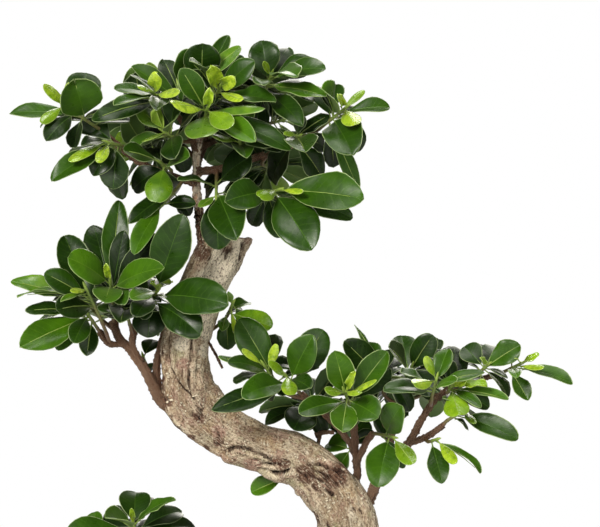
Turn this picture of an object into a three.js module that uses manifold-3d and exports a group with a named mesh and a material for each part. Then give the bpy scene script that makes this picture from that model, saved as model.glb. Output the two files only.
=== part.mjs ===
// Chinese banyan bonsai: a fig with an S-shaped trunk and leafy pads, in a glazed pot.
// Millimetres, +Z up, +Y away from the front, origin on the ground under the middle of the pot.
import * as THREE from 'three';
import { mergeVertices } from 'three/addons/utils/BufferGeometryUtils.js';
import Module from 'manifold-3d';

const wasm = await Module();
wasm.setup();

// Places on the tree are taken from a datum at the tree's upper left: across, down and back.
const datum = { across: 291, down: 830, back: -8 };
const seatGap = 0.3;
// Faces thinner than this, left where solids cross, are closed up.
const sliver = 0.01;

const pot = {
  halfLength: 150,
  halfWidth: 110,
  corner: 34,
  cornerEase: 0.6,
  cornerSteps: 3,
  height: 88,
  wall: 9,
  floor: 9,
  lowEdge: 4,
  rim: 7,
  rimHeight: 12,
  rimEdge: 3,
  taper: 20,
  footHeight: 10,
  footSunk: 3,
  footInset: 26,
  footLength: 44,
  footWidth: 18,
  drainRadius: 9,
  drainSides: 12,
  drainAcross: 62,
};

// The soil lies level along the pot's wall and rises to a low mound round the trunk.
const soil = { edgeHeight: 74, shoulderHeight: 77, shoulderInset: 30, moundHeight: 82, moundInset: 62 };

// Shares are of the leaf's length, from its root: the stalk's end, the blade's stations and where
// the blade is widest. Fold is the blade's rise at its edge for each millimetre of half width, and
// arch is its bow for each millimetre of length, young and old.
const leaf = {
  stalk: 0.13,
  halfThick: 0.75,
  stations: [0.32, 0.72],
  smallStations: [0.5],
  smallWidth: 13,
  widest: 0.57,
  fullness: 0.5,
  fold: [0.5, 0.16],
  arch: [0.03, 0.08],
  bladeStart: 0.24,
  rootSink: 0.6,
  firstRoot: 0.35,
  lastRoot: 0.93,
  clear: 0.5,
};

// A spiral of leaves: turn from leaf to leaf, angle to the stem of the oldest and of the youngest,
// length of the youngest and width as shares of a length, and how far the faces lean to the sky.
const spiral = { turn: 137.5, spread: [116, 34], youngest: 0.5, width: 0.56, skyward: 0.9 };

// Trunk route from the foot in the soil to the cut top: across, down, back, radius.
const trunkRoute = [
  [286, 788, 6, 50],
  [280, 756, 5, 49],
  [262, 722, 8, 41],
  [248, 686, 12, 38],
  [256, 648, 12, 35],
  [284, 612, 8, 33],
  [318, 580, 2, 32],
  [342, 548, -4, 31],
  [345, 518, -6, 30],
  [327, 487, -4, 26],
  [295, 459, 0, 23],
  [254, 446, 2, 22],
  [220, 427, 2, 24],
  [193, 400, 0, 27],
  [186, 372, -2, 24],
  [187, 338, -2, 23.5],
  [199, 302, 0, 24],
  [214, 267, 0, 23.5],
  [231, 237, 0, 26],
];
const trunkSides = 14;
const trunkSteps = 28;
// Lobes of the trunk's section: depth as a share of the radius, count, and how far they wind.
const trunkLobes = [[0.09, 3, 5], [0.05, 5, -9]];
const stem = { sides: 3, start: 2.3, end: 1.6, seat: 0.4, lastSeat: 0.97 };

// Surface roots: compass angle in degrees, reach from the trunk's foot, radius where it leaves.
const roots = [
  [200, 98, 17],
  [262, 74, 14],
  [325, 96, 16],
  [18, 100, 15],
  [82, 80, 13],
  [140, 88, 15],
];
const rootSides = 6;
const rootTaper = 0.4;
// How a root falls: share of its reach, down.
const rootFall = [[0.16, 704], [0.46, 742], [0.78, 762], [1.02, 784]];

// Woody branches: points across, down, back, then the radius at the start and at the end.
const branches = {
  crown: [[[205, 266, -6], [203, 243, -11], [200, 214, -14], [197, 188, -12], [197, 160, -10],
    [200, 134, -8], [202, 112, -4]], 6.5, 3.6],
  crownLeft: [[[197, 184, -12], [172, 176, -16], [146, 166, -20], [124, 150, -24], [106, 134, -28]],
    4.2, 3.2],
  crownUpLeft: [[[198, 152, -9], [186, 128, -14], [176, 112, -20]], 3.8, 3.2],
  crownRight: [[[197, 172, -11], [228, 168, -14], [262, 156, -18], [292, 146, -24], [316, 132, -34]],
    4.6, 3.2],
  crownLowRight: [[[229, 168, -14], [246, 184, -26], [258, 196, -38]], 3.4, 3.2],
  crownTopRight: [[[240, 163, -15], [254, 128, -8], [260, 104, -8]], 3.6, 3.2],
  crownBackLeft: [[[197, 160, -8], [176, 142, 30], [150, 124, 62]], 4, 3.2],
  crownBackRight: [[[197, 150, -8], [222, 136, 34], [262, 124, 70]], 4, 3.2],
  crownBack: [[[197, 164, -8], [202, 150, 44], [206, 132, 88]], 4, 3.2],
  left: [[[190, 420, -2], [163, 402, -10], [147, 372, -14], [134, 352, -14], [120, 338, -12],
    [113, 320, -10]], 7, 3.4],
  leftRight: [[[141, 362, -14], [133, 344, -16], [136, 326, -20], [144, 312, -28]], 3.8, 3.2],
  leftBack: [[[134, 352, -14], [118, 334, 10], [112, 308, 34]], 3.6, 3.2],
  leftTwig: [[[125, 343, -13], [110, 343, -22], [101, 331, -32]], 3.4, 3.2],
  right: [[[352, 530, 0], [366, 506, -6], [376, 484, -10], [390, 464, -16], [408, 442, -26], [422, 416, -40],
    [436, 394, -52]], 7, 3.2],
  rightInner: [[[349, 496, 6], [357, 474, 2], [355, 448, -6], [354, 428, -26], [353, 414, -50]], 4.6, 3.2],
  rightWest: [[[355, 450, -4], [338, 428, -6], [318, 408, -20], [301, 393, -34]], 3.8, 3.2],
  rightHang: [[[356, 466, 0], [364, 446, -24], [372, 432, -44]], 3.2, 3.2],
  rightEast: [[[436, 396, -51], [452, 386, -42], [476, 379, -30], [498, 374, -26]], 3.4, 3.2],
  rightLow: [[[408, 442, -26], [424, 436, -36], [442, 424, -46]], 3.2, 3.2],
  rightBack: [[[366, 506, -4], [384, 462, 26], [396, 420, 40], [404, 392, 44]], 4.4, 3.2],
  low: [[[238, 690, 8], [206, 672, -2], [180, 640, -10], [160, 604, -14], [146, 570, -16],
    [138, 544, -18]], 7, 3.2],
  lowRight: [[[172, 624, -12], [176, 590, -4], [178, 566, 4]], 3.6, 3.2],
  lowLeft: [[[158, 600, -14], [132, 578, -14], [110, 562, -16]], 3.6, 3.2],
};
const branchSides = 5;
const twigSides = 4;

// The thin aerial root that hangs at the bend of the upper trunk.
const aerialRoot = [[[204, 336, -10], [209, 342, -12], [216, 354, -13], [223, 368, -13]], 1, 0.7];

// Leafy shoots. Each grows on a branch at a share of its length: its stem runs from there over base
// to tip, and bears its leaves from base on. A leaf is its tip's place, its width, its lean (0 lies level,
// 90 stands and faces front), its age (0 young, 1 old) and, where it has one, a turn round its midrib.
// A shoot that has no leaf list carries a spiral: count of leaves, length of the longest, first turn.
const shoots = {
  crownWest: { on: ['crownLeft', 1], base: [102, 131, -31], tip: [64, 105, -60], leaves: [
    [67, 121, -22, 20, 40, 0.9], [78, 82, -96, 44, 74, 0.55], [12, 115, -42, 20, 50, 0.65],
    [88, 74, -30, 36, 66, 0.8], [50, 143, -84, 24, 60, 0.85], [73, 137, -16, 22, 20, 0.95],
    [47, 88, -78, 14, 60, 0.05], [67, 82, -74, 12, 70, 0], [45, 125, -84, 12, 60, 0.1]] },
  crownWestLow: { on: ['crownLeft', 0.7], base: [126, 148, -34], tip: [108, 143, -58], leaves: [
    [115, 190, -58, 30, 62, 0.95], [93, 178, -50, 26, 60, 0.9], [55, 182, -76, 24, 55, 0.6],
    [71, 153, -40, 16, 5, 0.8], [85, 147, -84, 16, 35, 0.9], [101, 164, -88, 12, 70, 0.1],
    [76, 149, -92, 14, 45, 0.05]] },
  crownUpWest: { on: ['crownUpLeft', 1], base: [173, 107, -24], tip: [152, 93, -62], leaves: [
    [95, 122, -74, 24, 50, 0.85], [160, 113, -106, 22, 50, 0.85], [117, 108, -100, 18, 40, 0.5],
    [131, 76, -30, 14, 10, 0.8], [120, 87, -80, 20, 45, 0.55], [180, 97, -100, 16, 60, 0.05],
    [159, 77, -84, 14, 70, 0], [144, 83, -84, 7, 60, 0.05]] },
  crownPeakWest: { on: ['crownUpLeft', 0.55], base: [186, 116, 2], tip: [178, 84, 4], leaves: [
    [132, 67, -14, 22, 55, 0.55], [163, 56, 24, 24, 60, 0.8], [150, 84, 44, 24, 30, 0.9],
    [188, 50, -26, 24, 70, 0.6, 35]] },
  crownHeart: { on: ['crown', 0.88], base: [204, 124, -30], tip: [209, 110, -84], leaves: [
    [196, 139, -66, 24, 55, 0.85], [291, 152, -88, 26, 60, 0.75], [256, 144, -118, 22, 60, 0.35],
    [203, 140, -128, 36, 55, 0.3], [265, 112, -112, 18, 45, 0.3], [183, 72, -96, 24, 72, 0.5],
    [175, 107, -122, 20, 55, 0.1], [232, 130, -124, 22, 70, 0.15], [212, 92, -106, 10, 80, 0]] },
  crownCurl: { on: ['crown', 0.96], base: [212, 106, -16], tip: [221, 88, -58], leaves: [
    [276, 105, -78, 24, 50, 0.6], [255, 63, -58, 26, 65, 0.65], [191, 64, -78, 24, 60, 0.6, 60],
    [243, 103, -96, 12, 60, 0.05], [210, 65, -82, 16, 75, 0], [229, 73, -84, 14, 75, 0.02]] },
  crownPeak: { on: ['crown', 1], base: [202, 106, 2], tip: [202, 78, -4], leaves: [
    [243, 56, 24, 24, 50, 0.85], [228, 39, 40, 18, 60, 0.6], [203, 42, -22, 38, 85, 0.8],
    [237, 51, -30, 18, 60, 0.3]] },
  crownTopEast: { on: ['crownTopRight', 1], base: [262, 100, -12], tip: [272, 75, -38], leaves: [
    [303, 128, -82, 24, 78, 0.85], [241, 86, -86, 22, 4, 0.7], [326, 99, -92, 20, 55, 0.4],
    [288, 48, 10, 24, 60, 0.8], [262, 42, -24, 32, 80, 0.75], [314, 62, -34, 28, 60, 0.7],
    [329, 75, -60, 24, 60, 0.6], [298, 80, -104, 28, 45, 0.45], [264, 64, -60, 7, 80, 0.05]] },
  crownEast: { on: ['crownRight', 1], base: [319, 130, -40], tip: [346, 109, -66], leaves: [
    [358, 190, -34, 16, 40, 0.6, 30], [325, 88, -26, 36, 66, 0.7], [352, 157, -104, 40, 74, 0.7],
    [306, 98, -92, 34, 55, 0.4], [360, 152, -46, 28, 60, 0.8], [389, 109, -58, 20, 50, 0.5],
    [364, 92, -50, 8, 60, 0.2], [338, 97, -92, 8, 70, 0], [354, 127, -104, 20, 60, 0.05]] },
  crownEastMid: { on: ['crownRight', 0.78], base: [291, 142, -40], tip: [300, 137, -62], leaves: [
    [322, 178, -30, 28, 60, 0.9], [250, 133, -86, 26, 60, 0.7], [306, 160, -104, 34, 55, 0.75],
    [272, 182, -6, 28, 62, 0.95],
    [284, 136, -84, 7, 60, 0.1]] },
  crownLowEast: { on: ['crownLowRight', 1], base: [260, 196, -42], tip: [281, 190, -76], leaves: [
    [281, 238, -54, 26, 60, 0.8], [352, 219, -58, 26, 60, 0.7], [226, 203, -96, 32, 72, 0.7],
    [312, 250, -118, 46, 68, 0.6], [362, 200, -116, 44, 66, 0.6], [260, 198, -104, 17, 60, 0.25],
    [303, 193, -108, 8, 60, 0.05]] },
  crownCentreLow: { on: ['crownRight', 0.17], base: [217, 178, -28], tip: [217, 198, -52], leaves: [
    [252, 158, -58, 36, 62, 1], [179, 181, -62, 18, 30, 0.7], [219, 250, -52, 34, 80, 0.85],
    [238, 240, -90, 38, 80, 0.7], [256, 196, 4, 30, 60, 0.95],
    [203, 213, -66, 12, 40, 0.2]] },
  crownWestMid: { on: ['crownLeft', 0.28], base: [172, 171, -32], tip: [161, 163, -53], leaves: [
    [134, 190, -26, 28, 55, 0.95], [191, 158, -86, 24, 62, 0.6], [158, 203, -92, 28, 74, 0.25],
    [150, 150, 4, 26, 40, 0.95], [170, 200, 8, 24, 66, 0.95],
    [126, 152, -74, 26, 40, 0.7]] },
  crownHanging: { on: ['crownLeft', 0.14], base: [180, 186, -26], tip: [163, 206, -40], leaves: [
    [131, 224, -62, 20, 60, 0.8], [186, 224, -8, 22, 40, 0.9], [128, 241, -88, 22, 45, 0.55]] },
  crownInnerWest: { on: ['crownUpLeft', 0.2], base: [182, 142, -34], tip: [164, 132, -50],
    spiral: [9, 54, 40] },
  crownInnerEast: { on: ['crownRight', 0.42], base: [243, 156, -36], tip: [240, 140, -52],
    spiral: [9, 56, 100] },
  crownInnerLow: { on: ['crownRight', 0.55], base: [262, 164, -8], tip: [272, 168, 16],
    spiral: [9, 60, 10] },
  crownBackWest: { on: ['crownBackLeft', 1], base: [148, 122, 66], tip: [136, 112, 84],
    spiral: [8, 64, 20] },
  crownBackWestTop: { on: ['crownBackLeft', 0.6], base: [164, 108, 44], tip: [162, 88, 56],
    spiral: [7, 54, 80] },
  crownBackWestLow: { on: ['crownBackLeft', 0.5], base: [160, 150, 36], tip: [142, 156, 40],
    spiral: [8, 60, 140] },
  crownBackTop: { on: ['crownBack', 0.7], base: [214, 110, 66], tip: [218, 92, 70],
    spiral: [8, 60, 10] },
  crownBackEnd: { on: ['crownBack', 1], base: [207, 131, 92], tip: [210, 126, 112],
    spiral: [8, 64, 60] },
  crownBackEast: { on: ['crownBackRight', 1], base: [265, 123, 73], tip: [284, 118, 86],
    spiral: [8, 64, 110] },
  crownBackEastTop: { on: ['crownBackRight', 0.7], base: [258, 108, 44], tip: [266, 86, 50],
    spiral: [7, 54, 30] },
  crownBackEastLow: { on: ['crownBackRight', 0.55], base: [246, 146, 50], tip: [254, 154, 66],
    spiral: [8, 60, 75] },
  leftHeart: { on: ['left', 0.98], base: [114, 312, -22], tip: [112, 279, -58], leaves: [
    [94, 225, -8, 32, 66, 0.85], [160, 235, -72, 26, 68, 0.9], [125, 232, -54, 20, 20, 0.85, 50],
    [131, 201, -46, 26, 60, 0.6], [127, 304, -96, 22, 45, 0.5], [167, 268, -104, 30, 66, 0.5],
    [109, 302, -110, 30, 52, 0.4], [72, 258, -100, 34, 66, 0.25], [108, 264, -74, 7, 80, 0]] },
  leftWest: { on: ['leftTwig', 0.45], base: [104, 322, -50], tip: [88, 287, -66], leaves: [
    [66, 236, -30, 34, 78, 0.8], [61, 309, -104, 28, 62, 0.85], [14, 281, -58, 22, 55, 0.4],
    [48, 273, -78, 26, 64, 0.7], [25, 298, -92, 14, 12, 0.5], [65, 301, -102, 9, 40, 0.4],
    [75, 291, -98, 9, 60, 0.05]] },
  leftLow: { on: ['leftTwig', 1], base: [99, 328, -36], tip: [88, 311, -44], leaves: [
    [82, 346, -14, 14, 60, 0.7], [89, 355, -52, 20, 62, 0.8], [59, 349, -48, 20, 60, 0.6],
    [24, 346, -84, 34, 66, 0.35], [77, 342, -76, 22, 74, 0.65], [27, 316, -62, 18, 45, 0.85]] },
  leftMid: { on: ['leftRight', 0.5], base: [131, 324, -36], tip: [127, 306, -52], leaves: [
    [101, 308, -78, 16, 55, 0.8], [122, 333, -80, 30, 66, 0.85]] },
  leftEast: { on: ['leftRight', 1], base: [147, 308, -34], tip: [161, 288, -64], leaves: [
    [150, 337, -58, 34, 66, 0.95], [202, 334, -84, 34, 66, 0.85], [130, 282, -56, 20, 45, 0.8],
    [139, 316, -100, 24, 60, 0.9], [230, 304, -112, 42, 70, 0.7], [185, 215, -84, 40, 82, 0.7],
    [134, 298, -104, 18, 55, 0.45], [153, 283, -84, 9, 60, 0.02]] },
  leftSpur: { on: ['left', 0.5], base: [146, 366, -2], tip: [143, 356, 8], leaves: [
    [151, 372, 12, 14, 75, 0.9], [153, 340, 30, 18, 60, 0.9]] },
  leftBackWest: { on: ['leftBack', 0.5], base: [98, 316, 16], tip: [84, 300, 28], spiral: [7, 54, 50] },
  leftBackTop: { on: ['leftBack', 1], base: [112, 303, 38], tip: [108, 280, 46], spiral: [7, 54, 0] },
  leftBackEast: { on: ['leftBack', 0.75], base: [132, 310, 38], tip: [148, 292, 40], spiral: [7, 54, 120] },
  middle: { on: ['trunk', 0.82], base: [222, 322, 24], tip: [233, 303, 10], leaves: [
    [222, 331, -4, 12, 70, 0.5], [272, 327, -14, 24, 62, 0.35],
    [249, 303, 34, 16, 45, 0.5], [231, 342, -6, 10, 70, 0.1, 60], [227, 291, 4, 7, 60, 0.3]] },
  rightFarWest: { on: ['rightWest', 0.86], base: [283, 390, -42], tip: [264, 363, -64], leaves: [
    [240, 318, -56, 34, 72, 0.65], [220, 355, -82, 14, 45, 0.5], [229, 361, -92, 20, 60, 0.8],
    [277, 343, -78, 10, 70, 0.1], [243, 348, -86, 8, 60, 0.05]] },
  rightWest: { on: ['rightWest', 1], base: [299, 391, -37], tip: [285, 373, -62], leaves: [
    [213, 408, -72, 24, 62, 0.85], [323, 329, -48, 34, 76, 0.75], [243, 394, -104, 26, 66, 0.5],
    [313, 334, -86, 32, 72, 0.55], [310, 386, -98, 22, 66, 0.75], [269, 360, -84, 10, 70, 0.1],
    [292, 398, -106, 16, 72, 0.12]] },
  rightDark: { on: ['rightWest', 0.62], base: [314, 411, -4], tip: [311, 401, 6], leaves: [
    [265, 424, 8, 22, 40, 0.95], [300, 431, -34, 34, 66, 0.95], [307, 378, 40, 20, 60, 0.8],
    [328, 408, 50, 24, 40, 0.9]] },
  rightFront: { on: ['rightInner', 1], base: [352, 410, -55], tip: [343, 388, -86], leaves: [
    [389, 367, -60, 28, 66, 0.8], [386, 350, -84, 26, 72, 0.6], [299, 410, -112, 22, 60, 0.5],
    [377, 414, -112, 32, 76, 0.5], [341, 428, -122, 28, 76, 0.4], [334, 349, -104, 28, 78, 0.35],
    [375, 378, -106, 8, 60, 0.05], [354, 369, -102, 8, 70, 0.02], [325, 388, -114, 12, 60, 0.05],
    [359, 391, -116, 11, 60, 0.05]] },
  rightBackWest: { on: ['rightBack', 0.8], base: [384, 394, 34], tip: [384, 370, 22], leaves: [
    [344, 341, -8, 30, 62, 0.9], [355, 325, 32, 12, 15, 0.6], [373, 335, 50, 20, 50, 0.7],
    [350, 380, 40, 26, 40, 0.9]] },
  rightCrest: { on: ['rightBack', 1], base: [405, 386, 36], tip: [412, 366, 18], leaves: [
    [440, 340, 70, 26, 40, 0.85], [388, 346, -30, 32, 60, 0.8], [402, 336, 46, 28, 60, 0.75],
    [433, 335, 10, 26, 62, 0.85], [461, 355, 44, 20, 40, 0.8], [423, 398, -6, 30, 50, 0.9]] },
  rightHeart: { on: ['right', 0.92], base: [430, 398, -64], tip: [435, 376, -74], leaves: [
    [382, 388, -96, 26, 40, 0.75], [399, 370, -94, 22, 30, 0.6], [453, 379, -104, 18, 60, 0.5],
    [482, 371, -72, 20, 25, 0.55], [447, 348, -58, 20, 50, 0.55], [411, 381, -118, 15, 60, 0.1],
    [423, 355, -92, 10, 60, 0.15]] },
  rightMid: { on: ['rightEast', 0.2], base: [446, 391, -58], tip: [450, 384, -66], leaves: [
    [487, 406, -58, 22, 60, 0.85], [505, 403, -62, 14, 40, 0.45], [478, 405, -92, 12, 50, 0.5],
    [456, 412, -106, 26, 70, 0.1], [463, 370, -80, 10, 70, 0.05], [479, 377, -86, 8, 60, 0.02]] },
  rightEast: { on: ['rightEast', 0.62], base: [479, 371, -42], tip: [486, 364, -50], leaves: [
    [518, 344, -54, 26, 62, 0.6], [463, 346, -34, 24, 76, 0.8], [496, 346, -10, 24, 50, 0.8],
    [478, 357, -66, 7, 70, 0.05]] },
  rightTip: { on: ['rightEast', 1], base: [501, 372, -28], tip: [521, 362, -36], leaves: [
    [526, 399, -50, 18, 55, 0.6], [514, 376, -72, 14, 60, 0.4], [570, 383, -46, 18, 40, 0.5],
    [541, 366, -64, 8, 50, 0.05], [537, 353, -40, 8, 60, 0.1], [513, 357, -58, 9, 60, 0.05]] },
  rightHang: { on: ['rightHang', 1], base: [375, 432, -50], tip: [393, 435, -72], leaves: [
    [403, 466, -56, 14, 70, 0.8], [400, 403, -100, 32, 66, 0.6], [376, 483, -96, 34, 76, 0.6],
    [411, 460, -100, 18, 66, 0.1]] },
  rightLowEast: { on: ['rightLow', 1], base: [446, 419, -49], tip: [462, 409, -58], leaves: [
    [467, 428, -36, 12, 40, 0.8], [515, 437, -72, 24, 56, 0.7], [441, 396, -84, 12, 40, 0.6],
    [472, 421, -84, 9, 50, 0.2]] },
  rightUnder: { on: ['rightLow', 0.5], base: [427, 440, -46], tip: [436, 437, -60], leaves: [
    [440, 480, -84, 22, 70, 0.65], [479, 471, -54, 12, 30, 0.6], [453, 460, -94, 12, 66, 0.1]] },
  rightBehind: { on: ['rightInner', 0.42], base: [352, 452, 14], tip: [349, 444, 24], leaves: [
    [328, 444, 30, 26, 62, 0.4], [366, 420, 44, 24, 60, 0.85], [330, 418, 60, 24, 50, 0.9]] },
  rightBackEast: { on: ['rightBack', 0.9], base: [418, 398, 52], tip: [432, 386, 62], spiral: [8, 56, 30] },
  rightBackLow: { on: ['rightBack', 0.55], base: [378, 420, 46], tip: [366, 400, 50], spiral: [8, 56, 90] },
  under: { on: ['trunk', 0.58], base: [289, 478, 26], tip: [283, 478, 33], leaves: [
    [251, 493, 24, 20, 62, 0.35], [268, 452, 60, 20, 60, 0.5]] },
  lowHeart: { on: ['low', 1], base: [137, 541, -20], tip: [134, 520, -28], leaves: [
    [196, 529, 24, 24, 50, 0.8], [68, 529, -48, 24, 45, 0.6], [182, 512, 4, 26, 55, 0.9],
    [106, 512, -8, 26, 60, 0.85], [108, 514, -76, 26, 55, 0.45], [136, 492, 2, 32, 70, 0.8],
    [177, 497, -58, 16, 45, 0.55], [133, 506, -48, 6, 80, 0.05]] },
  lowWest: { on: ['lowLeft', 1], base: [107, 560, -18], tip: [92, 548, -26], spiral: [7, 56, 60] },
  lowEast: { on: ['lowRight', 1], base: [179, 563, 6], tip: [182, 545, 4], spiral: [7, 56, 0] },
  lowFront: { on: ['low', 0.72], base: [156, 580, -44], tip: [150, 568, -64], spiral: [7, 54, 100] },
  lowBack: { on: ['low', 0.8], base: [148, 574, 16], tip: [140, 562, 36], spiral: [7, 56, 45] },
};

// The ways a leaf may bend clear of its neighbours: lift and swing in degrees, then its share of length.
const bends = [[0, 0], [7, 0], [-7, 0], [0, 9], [0, -9], [12, 6], [12, -6], [-12, 8], [-12, -8], [0, 18],
  [0, -18], [20, 0], [-20, 0], [22, 14], [22, -14], [-22, 14], [-22, -14]];
const shortenings = [1, 0.86, 0.72];

const radians = THREE.MathUtils.degToRad;

function place([across, down, back]) {
  return new THREE.Vector3(across - datum.across, back + datum.back, datum.down - down);
}

function solidOf(geometry) {
  const bare = geometry.clone();
  bare.deleteAttribute('normal');
  bare.deleteAttribute('uv');
  const merged = mergeVertices(bare);
  return new wasm.Manifold(new wasm.Mesh({
    numProp: 3,
    vertProperties: new Float32Array(merged.attributes.position.array),
    triVerts: new Uint32Array(merged.index.array),
  }));
}

function geometryOf(solid) {
  const mesh = solid.getMesh();
  const geometry = new THREE.BufferGeometry();
  geometry.setAttribute('position', new THREE.BufferAttribute(mesh.vertProperties, 3));
  geometry.setIndex(new THREE.BufferAttribute(mesh.triVerts, 1));
  geometry.computeVertexNormals();
  return geometry;
}

function curveThrough(stops) {
  return new THREE.CatmullRomCurve3(stops, false, 'catmullrom');
}

// A cylinder whose rings stand on the stops, with a radius for every share of its length and angle.
// Angles start at the normal of the first ring, which turns as little as it can from ring to ring.
const firstNormal = new THREE.Vector3(0.36, 0.48, 0.8);
function bentCylinder(stops, sides, radiusAt, front = firstNormal) {
  const steps = stops.length - 1;
  const curve = curveThrough(stops);
  const normals = [];
  const binormals = [];
  for (let step = 0; step <= steps; step += 1) {
    const tangent = curve.getTangent(step / steps);
    const normal = (normals[step - 1] ?? front).clone();
    normals.push(normal.addScaledVector(tangent, -normal.dot(tangent)).normalize());
    binormals.push(tangent.cross(normal));
  }
  const geometry = new THREE.CylinderGeometry(1, 1, 1, sides, steps);
  const position = geometry.attributes.position;
  for (let i = 0; i < position.count; i += 1) {
    const step = Math.round((position.getY(i) + 0.5) * steps);
    const [x, z] = [position.getX(i), position.getZ(i)];
    const radius = radiusAt(step / steps, Math.atan2(-z, x));
    const point = stops[step].clone().addScaledVector(normals[step], x * radius);
    point.addScaledVector(binormals[step], -z * radius);
    position.setXYZ(i, point.x, point.y, point.z);
  }
  return solidOf(geometry);
}

function branchSolid([points, startRadius, endRadius], sides, spare) {
  const stops = points.map(place);
  const [before, end] = stops.slice(-2);
  end.addScaledVector(end.clone().sub(before).normalize(), spare);
  const radiusAt = (share) => THREE.MathUtils.lerp(startRadius, endRadius, share) + spare;
  return bentCylinder(stops, sides, radiusAt);
}

// The trunk's section has lobes that wind slowly round it. Its angles start at the front.
const trunkCurve = curveThrough(trunkRoute.map(place));
function trunkRadius(share, angle) {
  const along = share * (trunkRoute.length - 1);
  const stop = Math.min(Math.floor(along), trunkRoute.length - 2);
  const radius = THREE.MathUtils.lerp(trunkRoute[stop][3], trunkRoute[stop + 1][3], along - stop);
  const lobes = trunkLobes.map(([depth, count, wind]) => depth * Math.cos(count * angle + wind * share));
  return radius * (1 + lobes[0] + lobes[1]);
}

function trunkSolid(spare) {
  const stops = trunkCurve.getPoints(trunkSteps);
  const radiusAt = (share, angle) => trunkRadius(share, angle) + spare;
  return bentCylinder(stops, trunkSides, radiusAt, new THREE.Vector3(0, -1, 0));
}

function rootSolid([compass, reach, radius], spare) {
  const [footAcross, , footBack] = trunkRoute[1];
  const stops = rootFall.map(([share, down]) => {
    const across = footAcross + reach * share * Math.cos(radians(compass));
    return place([across, down, footBack + reach * share * Math.sin(radians(compass))]);
  });
  const radiusAt = (share) => radius * THREE.MathUtils.lerp(1, rootTaper, share) + spare;
  return bentCylinder(stops, rootSides, radiusAt);
}

function stemRoute(shoot) {
  const base = place(shoot.base);
  const tip = place(shoot.tip);
  return { base, tip, along: tip.clone().sub(base).normalize() };
}

// A stem starts in the middle of its branch and is cut back to the bark, so that it sits on it.
function stemSolid(shoot) {
  const [branch, share] = shoot.on;
  const onTrunk = branch === 'trunk';
  const limb = onTrunk ? trunkSolid(stem.seat) : branchSolid(branches[branch], branchSides, stem.seat);
  const limbCurve = onTrunk ? trunkCurve : curveThrough(branches[branch][0].map(place));
  const { base, tip } = stemRoute(shoot);
  const stops = [limbCurve.getPoint(Math.min(share, stem.lastSeat)), base, tip];
  const whole = bentCylinder(stops, stem.sides, (along) => (along === 1 ? stem.end : stem.start));
  const pieces = whole.subtract(limb).decompose();
  return pieces.sort((one, other) => other.volume() - one.volume())[0];
}

function halfWidthShare(share) {
  const peak = Math.log(0.5) / Math.log(leaf.widest);
  return Math.sin(Math.PI * share ** peak) ** leaf.fullness;
}

// A leaf is a folded, arched blade that narrows to its root, which is a short upright edge. Each ring
// has its left edge, its upper middle, its right edge and its lower middle, and one point ends it.
function leafSolid(spec, bladeOnly) {
  const { root, length, width, along, up, age } = spec;
  const side = along.clone().cross(up);
  const fold = THREE.MathUtils.lerp(...leaf.fold, age);
  const arch = THREE.MathUtils.lerp(...leaf.arch, age);
  const bladeStations = width < leaf.smallWidth ? leaf.smallStations : leaf.stations;
  const stations = bladeStations.map((share) => leaf.stalk + share * (1 - leaf.stalk));
  const firstHalf = 0.5 * width * halfWidthShare(bladeStations[0]);
  const vertices = [];
  const at = (share, across, lift) => {
    const bow = arch * length * 4 * share * (1 - share);
    const point = root.clone().addScaledVector(along, share * length);
    vertices.push(point.addScaledVector(up, bow + lift).addScaledVector(side, across));
  };
  const shares = bladeOnly ? [leaf.bladeStart, ...stations] : stations;
  for (const share of shares) {
    const bladeShare = (share - leaf.stalk) / (1 - leaf.stalk);
    const half = share < stations[0]
      ? firstHalf * (share / stations[0])
      : 0.5 * width * halfWidthShare(bladeShare);
    at(share, -half, fold * half);
    at(share, 0, leaf.halfThick);
    at(share, half, fold * half);
    at(share, 0, -leaf.halfThick);
  }
  const faces = [];
  for (let ring = 0; ring < shares.length - 1; ring += 1) {
    const [left, top, right, bottom] = [0, 1, 2, 3].map((corner) => 4 * ring + corner);
    faces.push([left, top, left + 4], [top, top + 4, left + 4]);
    faces.push([right, right + 4, top], [top, right + 4, top + 4]);
    faces.push([left, left + 4, bottom], [bottom, left + 4, bottom + 4]);
    faces.push([right, bottom, right + 4], [bottom, bottom + 4, right + 4]);
  }
  at(1, 0, 0);
  const last = 4 * (shares.length - 1);
  const end = vertices.length - 1;
  for (let corner = 0; corner < 4; corner += 1) {
    faces.push([last + corner, last + ((corner + 1) % 4), end]);
  }
  if (bladeOnly) {
    faces.push([0, 3, 1], [1, 3, 2]);
  } else {
    at(0, 0, leaf.halfThick);
    at(0, 0, -leaf.halfThick);
    const [above, below] = [end + 1, end + 2];
    faces.push([above, 1, 0], [below, above, 0], [below, 0, 3]);
    faces.push([above, 2, 1], [below, 2, above], [below, 3, 2]);
  }
  const geometry = new THREE.BufferGeometry().setFromPoints(vertices);
  geometry.setIndex(faces.flat());
  return solidOf(geometry);
}

function spiralLeaves(shoot) {
  const { tip, along } = stemRoute(shoot);
  const [count, longest, firstTurn] = shoot.spiral;
  const level = new THREE.Vector3(0, 0, 1).cross(along).normalize();
  const leaves = [];
  for (let i = 0; i < count; i += 1) {
    const young = i / (count - 1);
    const spread = radians(THREE.MathUtils.lerp(...spiral.spread, young));
    const heading = level.clone().applyAxisAngle(along, radians(firstTurn + i * spiral.turn));
    const direction = heading.multiplyScalar(Math.sin(spread)).addScaledVector(along, Math.cos(spread));
    const length = longest * THREE.MathUtils.lerp(1, spiral.youngest, young);
    const face = along.clone().add(new THREE.Vector3(0, 0, spiral.skyward));
    const end = tip.clone().addScaledVector(direction, length);
    leaves.push({ end, width: spiral.width * length, face, age: 1 - young });
  }
  return leaves;
}

function listedLeaves(shoot) {
  return shoot.leaves.map(([across, down, back, width, lean, age, turn = 0]) => {
    const face = new THREE.Vector3(0, -Math.sin(radians(lean)), Math.cos(radians(lean)));
    return { end: place([across, down, back]), width, face, age, turn };
  });
}

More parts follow.
